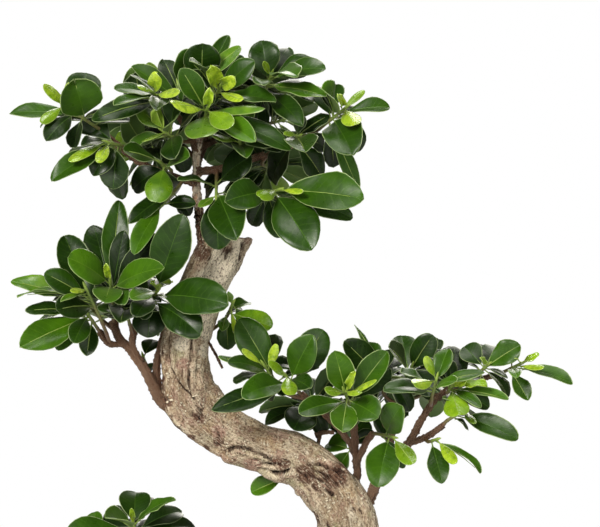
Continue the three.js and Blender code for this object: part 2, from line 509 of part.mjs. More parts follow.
// Everything a leaf needs before it is bent clear of its neighbours. Its root is sunk in the stem,
// on the side that the leaf leaves from.
function leafWish(shoot, wished, index, count) {
  const { base, tip, along: stem } = stemRoute(shoot);
  const rootShare = THREE.MathUtils.lerp(leaf.firstRoot, leaf.lastRoot, index / (count - 1));
  const root = base.clone().lerp(tip, rootShare);
  const out = wished.end.clone().sub(root);
  out.addScaledVector(stem, -out.dot(stem)).normalize();
  root.addScaledVector(out, leaf.rootSink);
  const reach = wished.end.clone().sub(root);
  const along = reach.clone().normalize();
  const up = wished.face.clone().addScaledVector(along, -wished.face.dot(along)).normalize();
  up.applyAxisAngle(along, radians(wished.turn ?? 0));
  return { root, length: reach.length(), width: wished.width, along, up, age: wished.age };
}

function bentLeaf(wish, [lift, swing], share) {
  const side = wish.along.clone().cross(wish.up);
  const along = wish.along.clone().applyAxisAngle(side, radians(lift));
  along.applyAxisAngle(wish.up, radians(swing));
  const up = wish.up.clone().addScaledVector(along, -wish.up.dot(along)).normalize();
  return { ...wish, along, up, length: wish.length * share, width: wish.width * share };
}

const placed = [];
function boxOf(solid) {
  const { min, max } = solid.boundingBox();
  return new THREE.Box3(new THREE.Vector3(...min), new THREE.Vector3(...max)).expandByScalar(leaf.clear);
}

function keep(owner, solid, blade) {
  placed.push({ owner, solid, blade, box: boxOf(solid) });
}

function standsClear(owner, whole, blade) {
  const box = boxOf(whole);
  return placed.every((other) => {
    if (!box.intersectsBox(other.box)) {
      return true;
    }
    if (other.owner !== owner) {
      return whole.minGap(other.solid, leaf.clear) >= leaf.clear * 0.99;
    }
    if (blade.minGap(other.solid, seatGap) < seatGap * 0.99) {
      return false;
    }
    return !other.blade || whole.minGap(other.blade, seatGap) >= seatGap * 0.99;
  });
}

function growLeaf(owner, wish) {
  for (const share of shortenings) {
    for (const bend of bends) {
      const spec = bentLeaf(wish, bend, share);
      const whole = leafSolid(spec, false);
      const blade = leafSolid(spec, true);
      if (standsClear(owner, whole, blade)) {
        keep(owner, whole, blade);
        return whole;
      }
    }
  }
  return null;
}

// A rounded rectangle at one height.
function roundedRing(halfLength, halfWidth, corner, height) {
  const points = [];
  const quarters = [[1, 1, 0], [-1, 1, 90], [-1, -1, 180], [1, -1, 270]];
  for (const [signX, signY, start] of quarters) {
    for (let i = 0; i <= pot.cornerSteps; i += 1) {
      const angle = radians(start + (90 * i) / pot.cornerSteps);
      const x = signX * (halfLength - corner) + corner * Math.cos(angle);
      const y = signY * (halfWidth - corner) + corner * Math.sin(angle);
      points.push(new THREE.Vector3(x, y, height));
    }
  }
  return points;
}

// A closed solid with the rings as its wall, and a flat face at each end.
function ringedSolid(rings, startHeight, endHeight) {
  const count = rings[0].length;
  const middles = [startHeight, endHeight].map((height) => new THREE.Vector3(0, 0, height));
  const vertices = [...rings.flat(), ...middles];
  const [start, end] = [vertices.length - 2, vertices.length - 1];
  const faces = [];
  for (let i = 0; i < count; i += 1) {
    const next = (i + 1) % count;
    faces.push([start, next, i]);
    for (let ring = 0; ring < rings.length - 1; ring += 1) {
      const [low, high] = [ring * count, (ring + 1) * count];
      faces.push([low + i, low + next, high + next], [low + i, high + next, high + i]);
    }
    const last = (rings.length - 1) * count;
    faces.push([last + i, last + next, end]);
  }
  const geometry = new THREE.BufferGeometry().setFromPoints(vertices);
  geometry.setIndex(faces.flat());
  return solidOf(geometry);
}

// A ring that follows the pot's leaning wall, set in from its outer face.
function wallRing(inset, height) {
  const share = (height - pot.footHeight) / (pot.height - pot.footHeight);
  const narrow = pot.taper * (1 - share) + inset;
  const corner = pot.corner - pot.cornerEase * inset;
  return roundedRing(pot.halfLength - narrow, pot.halfWidth - narrow, corner, height);
}

function potSolid() {
  const floorTop = pot.footHeight + pot.floor;
  const rimBottom = pot.height - pot.rimHeight;
  const rings = [
    wallRing(pot.lowEdge, pot.footHeight),
    wallRing(0, pot.footHeight + pot.lowEdge),
    wallRing(0, rimBottom - pot.rimEdge),
    wallRing(-pot.rim, rimBottom),
    wallRing(-pot.rim, pot.height - pot.rimEdge),
    wallRing(pot.rimEdge - pot.rim, pot.height),
    wallRing(pot.wall - pot.rimEdge, pot.height),
    wallRing(pot.wall, pot.height - pot.rimEdge),
    wallRing(pot.wall, floorTop),
  ];
  let body = ringedSolid(rings, pot.footHeight, floorTop);
  for (const across of [-pot.drainAcross, pot.drainAcross]) {
    const hole = new THREE.CylinderGeometry(pot.drainRadius, pot.drainRadius, 4 * pot.floor, pot.drainSides);
    hole.rotateX(Math.PI / 2).translate(across, 0, floorTop);
    body = body.subtract(solidOf(hole));
  }
  // Each foot is an L round a corner, with its back on the pot's underside.
  const foot = new THREE.Shape();
  foot.moveTo(0, 0);
  foot.lineTo(pot.footLength, 0);
  foot.lineTo(pot.footLength, pot.footWidth);
  foot.lineTo(pot.footWidth, pot.footWidth);
  foot.lineTo(pot.footWidth, pot.footLength);
  foot.lineTo(0, pot.footLength);
  foot.closePath();
  const depth = pot.footHeight + pot.footSunk;
  for (const quarter of [0, 1, 2, 3]) {
    const corner = new THREE.ExtrudeGeometry(foot, { depth, bevelEnabled: false });
    corner.rotateZ((quarter * Math.PI) / 2);
    const [signX, signY] = [[-1, -1], [1, -1], [1, 1], [-1, 1]][quarter];
    corner.translate(signX * (pot.halfLength - pot.footInset), signY * (pot.halfWidth - pot.footInset), 0);
    body = body.add(solidOf(corner));
  }
  return body;
}

// The soil fills the pot, with a plain hole for the foot of the tree.
function soilSolid() {
  const bottom = pot.footHeight + pot.floor + seatGap;
  const inset = pot.wall + seatGap;
  const rings = [
    wallRing(inset, bottom),
    wallRing(inset, soil.edgeHeight),
    wallRing(inset + soil.shoulderInset, soil.shoulderHeight),
    wallRing(inset + soil.moundInset, soil.moundHeight),
  ];
  const foot = [trunkSolid(seatGap), ...roots.map((root) => rootSolid(root, seatGap))];
  return ringedSolid(rings, bottom, soil.moundHeight).subtract(wasm.Manifold.union(foot));
}

const colours = {
  pot: [0x2f4a63, 0.25, 0],
  soil: [0x4a3626, 0.95, 0],
  bark: [0x9c8a6e, 0.85, 0],
  youngLeaf: 0x8fc31f,
  oldLeaf: 0x21421a,
};

const bonsai = new THREE.Group();
function addMesh(name, solid, [colour, roughness, metalness]) {
  const material = new THREE.MeshStandardMaterial({ color: colour, roughness, metalness });
  const mesh = new THREE.Mesh(geometryOf(solid.simplify(sliver)), material);
  mesh.name = name;
  bonsai.add(mesh);
}

addMesh('pot', potSolid(), colours.pot);
addMesh('soil', soilSolid(), colours.soil);

// The wood: every limb is kept apart as something to stay clear of, then all are joined.
const limbs = [trunkSolid(0), ...roots.map((root) => rootSolid(root, 0))];
for (const branch of [...Object.values(branches), aerialRoot]) {
  limbs.push(branchSolid(branch, branch === aerialRoot ? twigSides : branchSides, 0));
}
for (const limb of limbs) {
  keep('trunk', limb, null);
}
addMesh('trunk', wasm.Manifold.union(limbs), colours.bark);

const grown = {};
for (const [name, shoot] of Object.entries(shoots)) {
  const stem = stemSolid(shoot);
  grown[name] = [stem];
  keep(name, stem, null);
}
for (const listed of [true, false]) {
  for (const [name, shoot] of Object.entries(shoots)) {
    if (Boolean(shoot.leaves) === listed) {
      const wished = listed ? listedLeaves(shoot) : spiralLeaves(shoot);
      wished.forEach((one, index) => {
        const whole = growLeaf(name, leafWish(shoot, one, index, wished.length));
        if (whole) {
          grown[name].push(whole);
        }
      });
    }
  }
}
for (const [name, solids] of Object.entries(grown)) {
  const ages = shoots[name].leaves?.map((one) => one[5]) ?? [0.6];
  const meanAge = ages.reduce((sum, age) => sum + age, 0) / ages.length;
  const colour = new THREE.Color(colours.youngLeaf).lerp(new THREE.Color(colours.oldLeaf), meanAge);
  addMesh(`shoot_${name}`, wasm.Manifold.union(solids), [colour, 0.4, 0]);
}

export default bonsai;
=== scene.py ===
# Chinese banyan bonsai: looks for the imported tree. Metres, +Z up, front along -Y.
import math
import random

import bmesh
import bpy
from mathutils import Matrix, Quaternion, Vector, kdtree, noise
from mathutils.geometry import interpolate_bezier


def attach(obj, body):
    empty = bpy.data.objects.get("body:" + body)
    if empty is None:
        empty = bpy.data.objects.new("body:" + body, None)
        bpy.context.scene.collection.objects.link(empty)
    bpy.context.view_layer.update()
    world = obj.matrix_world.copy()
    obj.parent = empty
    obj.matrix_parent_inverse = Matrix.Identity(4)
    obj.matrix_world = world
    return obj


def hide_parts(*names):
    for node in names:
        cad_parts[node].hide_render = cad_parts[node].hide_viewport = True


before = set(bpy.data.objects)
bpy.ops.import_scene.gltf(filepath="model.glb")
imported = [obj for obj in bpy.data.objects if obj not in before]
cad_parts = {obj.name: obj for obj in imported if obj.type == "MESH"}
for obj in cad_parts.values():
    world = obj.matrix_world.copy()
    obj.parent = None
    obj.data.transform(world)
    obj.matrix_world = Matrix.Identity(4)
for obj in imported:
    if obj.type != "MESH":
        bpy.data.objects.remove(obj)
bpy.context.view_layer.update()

mm = 0.001
noise.seed_set(5)  # so that the creases stray the same way in each run
datum = {"across": 291, "down": 830, "back": -8}  # the corner that every place is measured from, in mm

def place(spot):
    across, down, back = spot
    return Vector((across - datum["across"], back + datum["back"], datum["down"] - down)) * mm

def between(low, high, share):
    return low + (high - low) * share

def turned(vector, axis, degrees):
    return Quaternion(axis, math.radians(degrees)) @ vector

def squareTo(vector, axis):
    return (vector - axis * vector.dot(axis)).normalized()

def smoothRoute(stops, steps):
    ends = [stops[0] * 2 - stops[1], *stops, stops[-1] * 2 - stops[-2]]
    route = [stops[0].copy()]
    for i in range(1, len(ends) - 2):
        before, start, end, after = ends[i - 1:i + 3]
        leave = start + (end - before) / 6
        arrive = end - (after - start) / 6
        route.extend(interpolate_bezier(start, leave, arrive, end, steps + 1)[1:])
    return route

def smoothSizes(sizes, steps):
    return [size.x for size in smoothRoute([Vector((size, 0, 0)) for size in sizes], steps)]


def placedRoute(stops, steps):
    return smoothRoute([place(stop) for stop in stops], steps)

# A limb is a grid rolled into a tube. Its angles start at front, which turns as little as it can.
def growRings(bm, route, sides, radiusAt, front=Vector((0.36, 0.48, 0.8))):
    last = len(route) - 1
    sheet = bmesh.ops.create_grid(bm, x_segments=sides, y_segments=last, size=1)["verts"]
    rings = [[None] * (sides + 1) for _ in route]
    for vertex in sheet:
        rings[round((vertex.co.y + 1) / 2 * last)][round((vertex.co.x + 1) / 2 * sides)] = vertex
    bmesh.ops.weld_verts(bm, targetmap={ring[-1]: ring[0] for ring in rings})
    rings = [ring[:-1] for ring in rings]
    normal = front
    for step, ring in enumerate(rings):
        ahead = route[min(step + 1, last)] - route[max(step - 1, 0)]
        tangent = ahead.normalized()
        normal = squareTo(normal, tangent)
        binormal = tangent.cross(normal)
        for side, vertex in enumerate(ring):
            angle = 2 * math.pi * side / sides
            out = normal * math.cos(angle) + binormal * math.sin(angle)
            vertex.co = route[step] + out * radiusAt(step, angle)
    return rings

def nextRing(bm, ring):
    edges = [bm.edges.get((ring[i - 1], ring[i])) for i in range(len(ring))]
    grown = bmesh.ops.extrude_edge_only(bm, edges=edges)["geom"]
    fresh = {part for part in grown if isinstance(part, bmesh.types.BMVert)}
    after = []
    for vertex in ring:
        others = (edge.other_vert(vertex) for edge in vertex.link_edges)
        after.append(next(other for other in others if other in fresh))
    return after

def closeEnds(bm, *ends):
    for end in ends:
        ring = nextRing(bm, end)
        middle = sum((vertex.co for vertex in ring), Vector()) / len(ring)
        bmesh.ops.pointmerge(bm, verts=ring, merge_co=middle)


def newMesh(name, bm):
    mesh = bpy.data.meshes.new(name)
    bm.to_mesh(mesh)
    bm.free()
    return mesh


def newObject(name, data):
    made = bpy.data.objects.new(name, data)
    bpy.context.scene.collection.objects.link(made)
    return made

def finishPiece(bm, name, materials, node):
    bmesh.ops.recalc_face_normals(bm, faces=bm.faces)
    for face in bm.faces:
        face.smooth = True
    piece = newObject(name, newMesh(name, bm))
    for material in materials:
        piece.data.materials.append(material)
    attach(piece, "root")
    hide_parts(node)

# Small helpers for building materials out of nodes.
def put(tree, kind, inputs=None, **settings):
    node = tree.nodes.new("ShaderNode" + kind)
    for name, value in settings.items():
        setattr(node, name, value)
    for name, value in (inputs or {}).items():
        feed(tree, node.inputs[name], value)
    return node

def feed(tree, socket, value):
    if isinstance(value, bpy.types.NodeSocket):
        tree.links.new(value, socket)
    else:
        socket.default_value = value

def maths(tree, operation, first, second=0.0, clamp=False):
    return put(tree, "Math", {0: first, 1: second}, operation=operation, use_clamp=clamp).outputs[0]


# Adds up values, each times its weight.
def total(tree, *terms):
    result = 0.0
    for value, weight in terms:
        result = maths(tree, "ADD", result, maths(tree, "MULTIPLY", value, weight))
    return result

def blend(tree, share, first, second):
    return put(tree, "Mix", {0: share, 6: first, 7: second}, data_type="RGBA").outputs[2]

def ramp(tree, share, stops):
    node = tree.nodes.new("ShaderNodeValToRGB")
    feed(tree, node.inputs[0], share)
    elements = node.color_ramp.elements
    while len(elements) < len(stops):
        elements.new(0.5)
    for element, (position, colour) in zip(elements, stops):
        element.position = position
        element.color = (*colour, 1)
    return node.outputs[0]

def stretch(tree, value, low, high, outLow=0.0, outHigh=1.0):
    inputs = {"Value": value, "From Min": low, "From Max": high, "To Min": outLow, "To Max": outHigh}
    return put(tree, "MapRange", inputs, interpolation_type="SMOOTHSTEP").outputs["Result"]


# Lays colours over one another: each has a mask, where the mask starts and is full, and its most.
def overlaid(tree, colour, layers):
    for mask, low, high, most, top in layers:
        colour = blend(tree, stretch(tree, mask, low, high, 0.0, most), colour, top)
    return colour

def cloud(tree, vector, scale, detail=3.0, roughness=0.55):
    inputs = {"Vector": vector, "Scale": scale, "Detail": detail, "Roughness": roughness}
    return put(tree, "TexNoise", inputs).outputs["Fac"]

def scaled(tree, vector, amounts):
    return put(tree, "VectorMath", {0: vector, 1: amounts}, operation="MULTIPLY").outputs[0]

def attribute(tree, name, output="Fac"):
    return put(tree, "Attribute", attribute_name=name).outputs[output]

def objectPlace(tree):
    return put(tree, "TexCoord").outputs["Object"]

def bumped(tree, height, strength, distance):
    inputs = {"Height": height, "Strength": strength, "Distance": distance}
    return put(tree, "Bump", inputs).outputs["Normal"]


def setSurface(tree, shader, **looks):
    for socket, value in looks.items():
        feed(tree, shader.inputs[socket.replace("_", " ")], value)

def newMaterial(name, **looks):
    material = bpy.data.materials.new(name)
    material.use_nodes = True
    shader = material.node_tree.nodes["Principled BSDF"]
    setSurface(material.node_tree, shader, **looks)
    return material, material.node_tree, shader

def newGroup(name, inputs, outputs):
    group = bpy.data.node_groups.new(name, "ShaderNodeTree")
    for direction, sockets in (("INPUT", inputs), ("OUTPUT", outputs)):
        for socket, kind in sockets.items():
            group.interface.new_socket(socket, in_out=direction, socket_type="NodeSocket" + kind)
    return group, group.nodes.new("NodeGroupInput").outputs, group.nodes.new("NodeGroupOutput").inputs

def useGroup(tree, group, inputs):
    return put(tree, "Group", inputs, node_tree=group).outputs

# Veins of a blade, from its own map: x across (-1 to 1), y from root to tip, z half width in metres.
leafVeins = {
    # The pale line along a blade's edge is a painted highlight; its width, like the midrib's, is in metres.
    "pairs": 11.0, "slant": 0.16, "sway": 0.7, "midrib": 0.0005, "rimHighlight": 0.0006,
    "net": (9, 30, 0),  # how many cells of its finest veins lie across it and along it
}

def buildVeinGroup():
    outputs = dict.fromkeys(["Midrib", "Margin", "Veins", "Net"], "Float")
    group, given, result = newGroup("leafVeins", {"Map": "Vector"}, outputs)
    parts = put(group, "SeparateXYZ", {"Vector": given["Map"]}).outputs
    aside = maths(group, "ABSOLUTE", parts["X"])
    fromMiddle = maths(group, "MULTIPLY", aside, parts["Z"])
    fromEdge = maths(group, "SUBTRACT", parts["Z"], fromMiddle)
    thinning = stretch(group, parts["Y"], 0.1, 1.0, 1.0, 0.35)
    ribWidth = maths(group, "MULTIPLY", thinning, leafVeins["midrib"])
    ribShare = maths(group, "DIVIDE", fromMiddle, ribWidth)
    edgeShare = maths(group, "DIVIDE", fromEdge, leafVeins["rimHighlight"])
    sway = cloud(group, scaled(group, given["Map"], (3, 8, 0)), 1.6, 2.0)
    slanted = total(group, (parts["Y"], 1.0), (aside, -leafVeins["slant"]))
    counted = total(group, (slanted, leafVeins["pairs"]), (sway, leafVeins["sway"]))
    saw = maths(group, "ABSOLUTE", maths(group, "SUBTRACT", maths(group, "FRACT", counted), 0.5))
    vein = stretch(group, saw, 0.0, 0.09, 1.0, 0.0)
    inside = stretch(group, aside, 0.75, 0.97, 1.0, 0.0)
    net = {"Vector": scaled(group, given["Map"], leafVeins["net"]), "Scale": 1.0}
    cells = put(group, "TexVoronoi", net, feature="DISTANCE_TO_EDGE")
    feed(group, result["Midrib"], stretch(group, ribShare, 0.5, 1.3, 1.0, 0.0))
    feed(group, result["Margin"], stretch(group, edgeShare, 0.3, 1.4, 1.0, 0.0))
    feed(group, result["Veins"], maths(group, "MULTIPLY", vein, inside))
    feed(group, result["Net"], stretch(group, cells.outputs["Distance"], 0.0, 0.12, 1.0, 0.0))
    return group


leafLook = {
    "sheen": {"Sheen_Weight": 0.09, "Sheen_Roughness": 0.4, "Sheen_Tint": (0.9, 1.0, 0.5, 1)},
    "darkPatch": (0.007, 0.024, 0.001, 1), "freshPatch": (0.12, 0.24, 0.006, 1),
    "toneSpread": 0.06, "veins": 0.13,
    "newShine": 0.16,  # how much smoother a new leaf is
    "veinRise": -0.2, "netRise": -0.04, "ribRise": {"face": -0.6, "under": 0.6}, "blisterRise": 4.6,
}

# The oldest face tones, near black, are partly an old leaf's colour and partly painted shade for the leaves
# deep in the crown.
leafColours = {
    "face": [(0.0, (0.43, 0.59, 0.03)), (0.14, (0.2, 0.36, 0.006)), (0.34, (0.055, 0.15, 0.003)),
             (0.6, (0.021, 0.066, 0.002)), (0.85, (0.0068, 0.024, 0.0008)), (1.0, (0.003, 0.011, 0.0006))],
    "under": [(0.0, (0.26, 0.4, 0.04)), (0.3, (0.11, 0.2, 0.035)), (1.0, (0.06, 0.11, 0.035))],
    "rib": [(0.0, (0.36, 0.55, 0.05)), (0.5, (0.11, 0.24, 0.02)), (1.0, (0.06, 0.14, 0.018))],
    # The colour of the pale line along a blade's edge, a painted highlight, by age.
    "rimHighlight": [(0.0, (0.42, 0.56, 0.1)), (0.4, (0.4, 0.52, 0.2)), (1.0, (0.3, 0.38, 0.19))],
}

def buildLeafMaterial(name, side, veins, roughness, gloss):
    material, tree, shader = newMaterial(name, Specular_IOR_Level=gloss, **leafLook["sheen"])
    age = attribute(tree, "leafAge")
    pattern = useGroup(tree, veins, {"Map": attribute(tree, "leafMap", "Vector")})
    where = objectPlace(tree)
    mottle = cloud(tree, where, 55.0, 4.0)
    patches = cloud(tree, where, 16.0, 2.0)
    young = stretch(tree, age, 0.0, 0.4, 1.0, 0.0)
    spread = leafLook["toneSpread"]
    tone = maths(tree, "ADD", age, stretch(tree, mottle, 0.3, 0.7, -spread, spread), clamp=True)
    colour = ramp(tree, tone, leafColours[side])
    colour = overlaid(tree, colour, [(patches, 0.42, 0.7, 0.4, leafLook["darkPatch"])])
    flecks = stretch(tree, cloud(tree, where, 170.0, 2.0), 0.46, 0.66, 0.0, 0.65)
    colour = blend(tree, maths(tree, "MULTIPLY", young, flecks), colour, leafLook["freshPatch"])
    veined = maths(tree, "MULTIPLY", pattern["Veins"], leafLook["veins"])
    ribbed = maths(tree, "MULTIPLY", pattern["Midrib"], stretch(tree, patches, 0.35, 0.65, 0.25, 0.6))
    # Painted highlight: a pale line along the blade's edge, broken up by the mottle.
    rimHighlightMask = maths(tree, "MULTIPLY", pattern["Margin"], stretch(tree, mottle, 0.35, 0.6, 0.25, 0.75))
    for mask, part in ((veined, "rib"), (ribbed, "rib"), (rimHighlightMask, "rimHighlight")):
        colour = blend(tree, mask, colour, ramp(tree, age, leafColours[part]))
    dull = stretch(tree, cloud(tree, where, 90.0, 3.0), 0.3, 0.7, roughness - 0.04, roughness + 0.1)
    dull = total(tree, (dull, 1.0), (young, -leafLook["newShine"]))
    blisters = maths(tree, "MULTIPLY", young, cloud(tree, where, 330.0, 2.0))
    relief = total(tree, (pattern["Veins"], leafLook["veinRise"]), (pattern["Net"], leafLook["netRise"]),
                   (pattern["Midrib"], leafLook["ribRise"][side]), (blisters, leafLook["blisterRise"]))
    setSurface(tree, shader, Base_Color=colour, Roughness=dull, Normal=bumped(tree, relief, 0.5, 0.0003))
    return material


stemColours = [(0.0, (0.3, 0.42, 0.07)), (0.35, (0.16, 0.24, 0.045)), (0.7, (0.12, 0.1, 0.035)),
               (1.0, (0.13, 0.065, 0.035))]

def buildGreenStem():
    material, tree, shader = newMaterial("greenStem", Roughness=0.5)
    where = objectPlace(tree)
    spotted = cloud(tree, where, 700.0, 2.0)
    uneven = stretch(tree, cloud(tree, where, 120.0), 0.3, 0.7, -0.12, 0.12)
    tone = maths(tree, "ADD", attribute(tree, "leafAge"), uneven, clamp=True)
    colour = ramp(tree, tone, stemColours)
    colour = overlaid(tree, colour, [(spotted, 0.62, 0.7, 0.35, (0.38, 0.33, 0.2, 1))])
    setSurface(tree, shader, Base_Color=colour, Normal=bumped(tree, spotted, 0.4, 0.0003))
    return material

# Bark reads its own map: x and y round the limb and z along it, in metres, so its grain follows the wood.
# Its tint says how rusty, how pink and how bleached the bark is at each place; some of its rust is painted
# shade and some of its bleach painted light.
barkColours = {
    "pale": (0.62, 0.51, 0.37), "tan": (0.33, 0.24, 0.155), "umber": (0.1, 0.062, 0.036),
    "ash": (0.42, 0.37, 0.27), "ochre": (0.4, 0.25, 0.11), "pink": (0.36, 0.215, 0.165),
    "bleachedAndLit": (0.92, 0.82, 0.65), "twig": (0.12, 0.038, 0.019), "twigPale": (0.62, 0.33, 0.19),
    # The near-black on the next line is painted shade for creases and fissures.
    "lenticel": (0.86, 0.76, 0.58), "shadeBlack": (0.006, 0.003, 0.002), "rustAndShade": (0.12, 0.052, 0.032),
    "moss": (0.26, 0.27, 0.12),
}


# Its clouds: how fine each is round the limb and along it, its detail and its roughness.
barkClouds = {
    "broad": [30, 14, 4.0, 0.6], "hue": [42, 26, 3.0, 0.6], "patchy": [85, 50, 4.0, 0.65],
    "streak": [330, 90, 4.0, 0.65], "grit": [560, 440, 3.0, 0.7], "fibre": [520, 60, 3.0, 0.6],
    "dotted": [120, 80, 2.0, 0.55],
}


# Its layers of colour: the cloud that masks each, where that starts and is full, and the most of it.
barkCoats = {
    "old": [["broad", 0.38, 0.6, 1.0, "pale"], ["patchy", 0.5, 0.64, 0.65, "ash"],
            ["hue", 0.52, 0.62, 0.35, "ochre"], ["hue", 0.44, 0.34, 0.5, "moss"],
            ["patchy", 0.48, 0.36, 0.7, "pink"], ["streak", 0.46, 0.33, 0.65, "umber"]],
    "twig": [["streak", 0.43, 0.61, 1.0, "twigPale"]],
    "fibre": [["fibre", 0.56, 0.68, 0.5, "lenticel"], ["fibre", 0.44, 0.33, 0.5, "rustAndShade"]],
    "grit": [["grit", 0.48, 0.37, 0.8, "umber"], ["grit", 0.54, 0.66, 0.5, "lenticel"]],
}

def buildBark():
    material, tree, shader = newMaterial("bark", Specular_IOR_Level=0.25)
    grain = attribute(tree, "barkMap", "Vector")
    tint = put(tree, "SeparateXYZ", {"Vector": attribute(tree, "barkTint", "Vector")}).outputs
    colour = {name: (*value, 1) for name, value in barkColours.items()}
    clouds = {name: cloud(tree, scaled(tree, grain, (around, around, along)), 1.0, detail, roughness)
              for name, (around, along, detail, roughness) in barkClouds.items()}

    def coated(under, coat):
        return overlaid(tree, under, [(clouds[name], low, high, most, colour[top])
                                      for name, low, high, most, top in barkCoats[coat]])

    old, twig = coated(colour["tan"], "old"), coated(colour["twig"], "twig")
    wood = blend(tree, attribute(tree, "barkYouth"), old, twig)
    ragged = stretch(tree, clouds["patchy"], 0.3, 0.7, -0.3, 0.3)
    # The rust tint is partly the bark's own rusty brown and partly painted shade; the bleach tint is partly
    # pale wood and partly painted light.
    for part, name in (("Z", "bleachedAndLit"), ("Y", "pink"), ("X", "rustAndShade")):
        mask = maths(tree, "ADD", tint[part], ragged)
        wood = overlaid(tree, wood, [(mask, 0.25, 0.75, 0.93, colour[name])])
    wood = coated(wood, "fibre")
    # Painted shade: where the rust tint is strong, dark slits follow the fibres.
    split = stretch(tree, clouds["fibre"], 0.46, 0.36)
    frayedShade = maths(tree, "MULTIPLY", stretch(tree, tint["X"], 0.2, 0.7, 0.0, 0.8), split)
    wood = coated(blend(tree, frayedShade, wood, colour["shadeBlack"]), "grit")
    pits = put(tree, "TexVoronoi", {"Vector": scaled(tree, grain, (240, 240, 330)), "Scale": 1.0})
    dots = stretch(tree, pits.outputs["Distance"], 0.2, 0.36, 1.0, 0.0)
    dots = maths(tree, "MULTIPLY", dots, stretch(tree, clouds["dotted"], 0.46, 0.6))
    wood = blend(tree, maths(tree, "MULTIPLY", dots, 0.9), wood, colour["lenticel"])
    rugged = maths(tree, "ADD", stretch(tree, clouds["grit"], 0.32, 0.68, -0.25, 0.25),
                   stretch(tree, clouds["fibre"], 0.35, 0.65, 0.14, -0.14))
    # Painted shade: the crease value, roughened, darkens creases and fissures to rusty brown and then to
    # near black.
    creaseShadeMask = maths(tree, "ADD", attribute(tree, "barkCreaseShade"), rugged)
    wood = overlaid(tree, wood, [(creaseShadeMask, 0.2, 0.7, 0.65, colour["rustAndShade"]),
                                 (creaseShadeMask, 0.62, 0.88, 0.95, colour["shadeBlack"])])
    relief = total(tree, (clouds["streak"], 0.9), (clouds["grit"], 1.5), (clouds["fibre"], 0.8),
                   (dots, 0.8), (frayedShade, -1.2), (stretch(tree, creaseShadeMask, 0.4, 0.75), -1.6))
    dull = stretch(tree, clouds["broad"], 0.3, 0.7, 0.72, 0.92)
    setSurface(tree, shader, Base_Color=wood, Roughness=dull, Normal=bumped(tree, relief, 1.0, 0.0021))
    return material


glazeColours = {
    "glaze": [(0.3, (0.012, 0.03, 0.06)), (0.5, (0.028, 0.07, 0.12)), (0.7, (0.07, 0.14, 0.2))],
    "speckle": (0.16, 0.12, 0.08, 1), "worn": (0.2, 0.13, 0.08, 1),
    "clay": [(0.21, 0.12, 0.07, 1), (0.3, 0.19, 0.12, 1)],
    "bare": [0.0135, 0.0145],  # between these heights, in metres, the glaze ends
}

def buildGlaze():
    material, tree, shader = newMaterial("potGlaze", Coat_Weight=0.6, Coat_Roughness=0.06)
    where = objectPlace(tree)
    height = put(tree, "SeparateXYZ", {"Vector": where}).outputs["Z"]
    pooled = cloud(tree, scaled(tree, where, (9, 9, 5)), 1.0, 4.0)
    flow = cloud(tree, scaled(tree, where, (60, 60, 14)), 1.0, 5.0, 0.6)
    colour = ramp(tree, total(tree, (pooled, 0.6), (flow, 0.4)), glazeColours["glaze"])
    specks = cloud(tree, where, 900.0, 2.0)
    colour = overlaid(tree, colour, [(specks, 0.66, 0.72, 0.6, glazeColours["speckle"])])
    worn = maths(tree, "MULTIPLY", attribute(tree, "potEdge"), stretch(tree, flow, 0.25, 0.6, 0.4, 1.0))
    colour = blend(tree, worn, colour, glazeColours["worn"])
    bare = stretch(tree, total(tree, (height, 1.0), (flow, 0.003)), *glazeColours["bare"], 1.0, 0.0)
    colour = blend(tree, bare, colour, blend(tree, flow, *glazeColours["clay"]))
    dull = stretch(tree, total(tree, (bare, 1.0), (flow, 0.2)), 0.0, 1.0, 0.1, 0.8)
    setSurface(tree, shader, Base_Color=colour, Roughness=dull, Normal=bumped(tree, flow, 0.12, 0.0015))
    return material

def buildEarth(name, dark, light, scale):
    material, tree, shader = newMaterial(name, Specular_IOR_Level=0.2)
    crumbs = cloud(tree, objectPlace(tree), scale, 6.0, 0.7)
    tone = total(tree, (crumbs, 0.6), (attribute(tree, "grainTone"), 0.4))
    colour = ramp(tree, tone, [(0.25, dark), (0.75, light)])
    dull = stretch(tree, crumbs, 0.3, 0.7, 0.8, 1.0)
    setSurface(tree, shader, Base_Color=colour, Roughness=dull, Normal=bumped(tree, crumbs, 0.8, 0.001))
    return material

def buildFloorPaint():
    material, tree, shader = newMaterial("floorPaint", Roughness=0.6)
    faint = stretch(tree, cloud(tree, objectPlace(tree), 3.0, 2.0), 0.3, 0.7, 0.7, 0.73)
    shade = put(tree, "CombineColor", {"Red": faint, "Green": faint, "Blue": faint})
    setSurface(tree, shader, Base_Color=shade.outputs["Color"])
    return material

print("materials")
veinGroup = buildVeinGroup()
leafFace = buildLeafMaterial("leafFace", "face", veinGroup, 0.31, 0.26)
youngFace = buildLeafMaterial("youngLeafFace", "face", veinGroup, 0.33, 1.0)
leafUnder = buildLeafMaterial("leafUnderside", "under", veinGroup, 0.5, 0.25)
greenStem = buildGreenStem()
bark = buildBark()
potGlaze = buildGlaze()
soilEarth = buildEarth("soilEarth", (0.03, 0.019, 0.012), (0.13, 0.085, 0.055), 420.0)
soilGrit = buildEarth("soilGrit", (0.06, 0.035, 0.02), (0.3, 0.2, 0.13), 900.0)
floorPaint = buildFloorPaint()

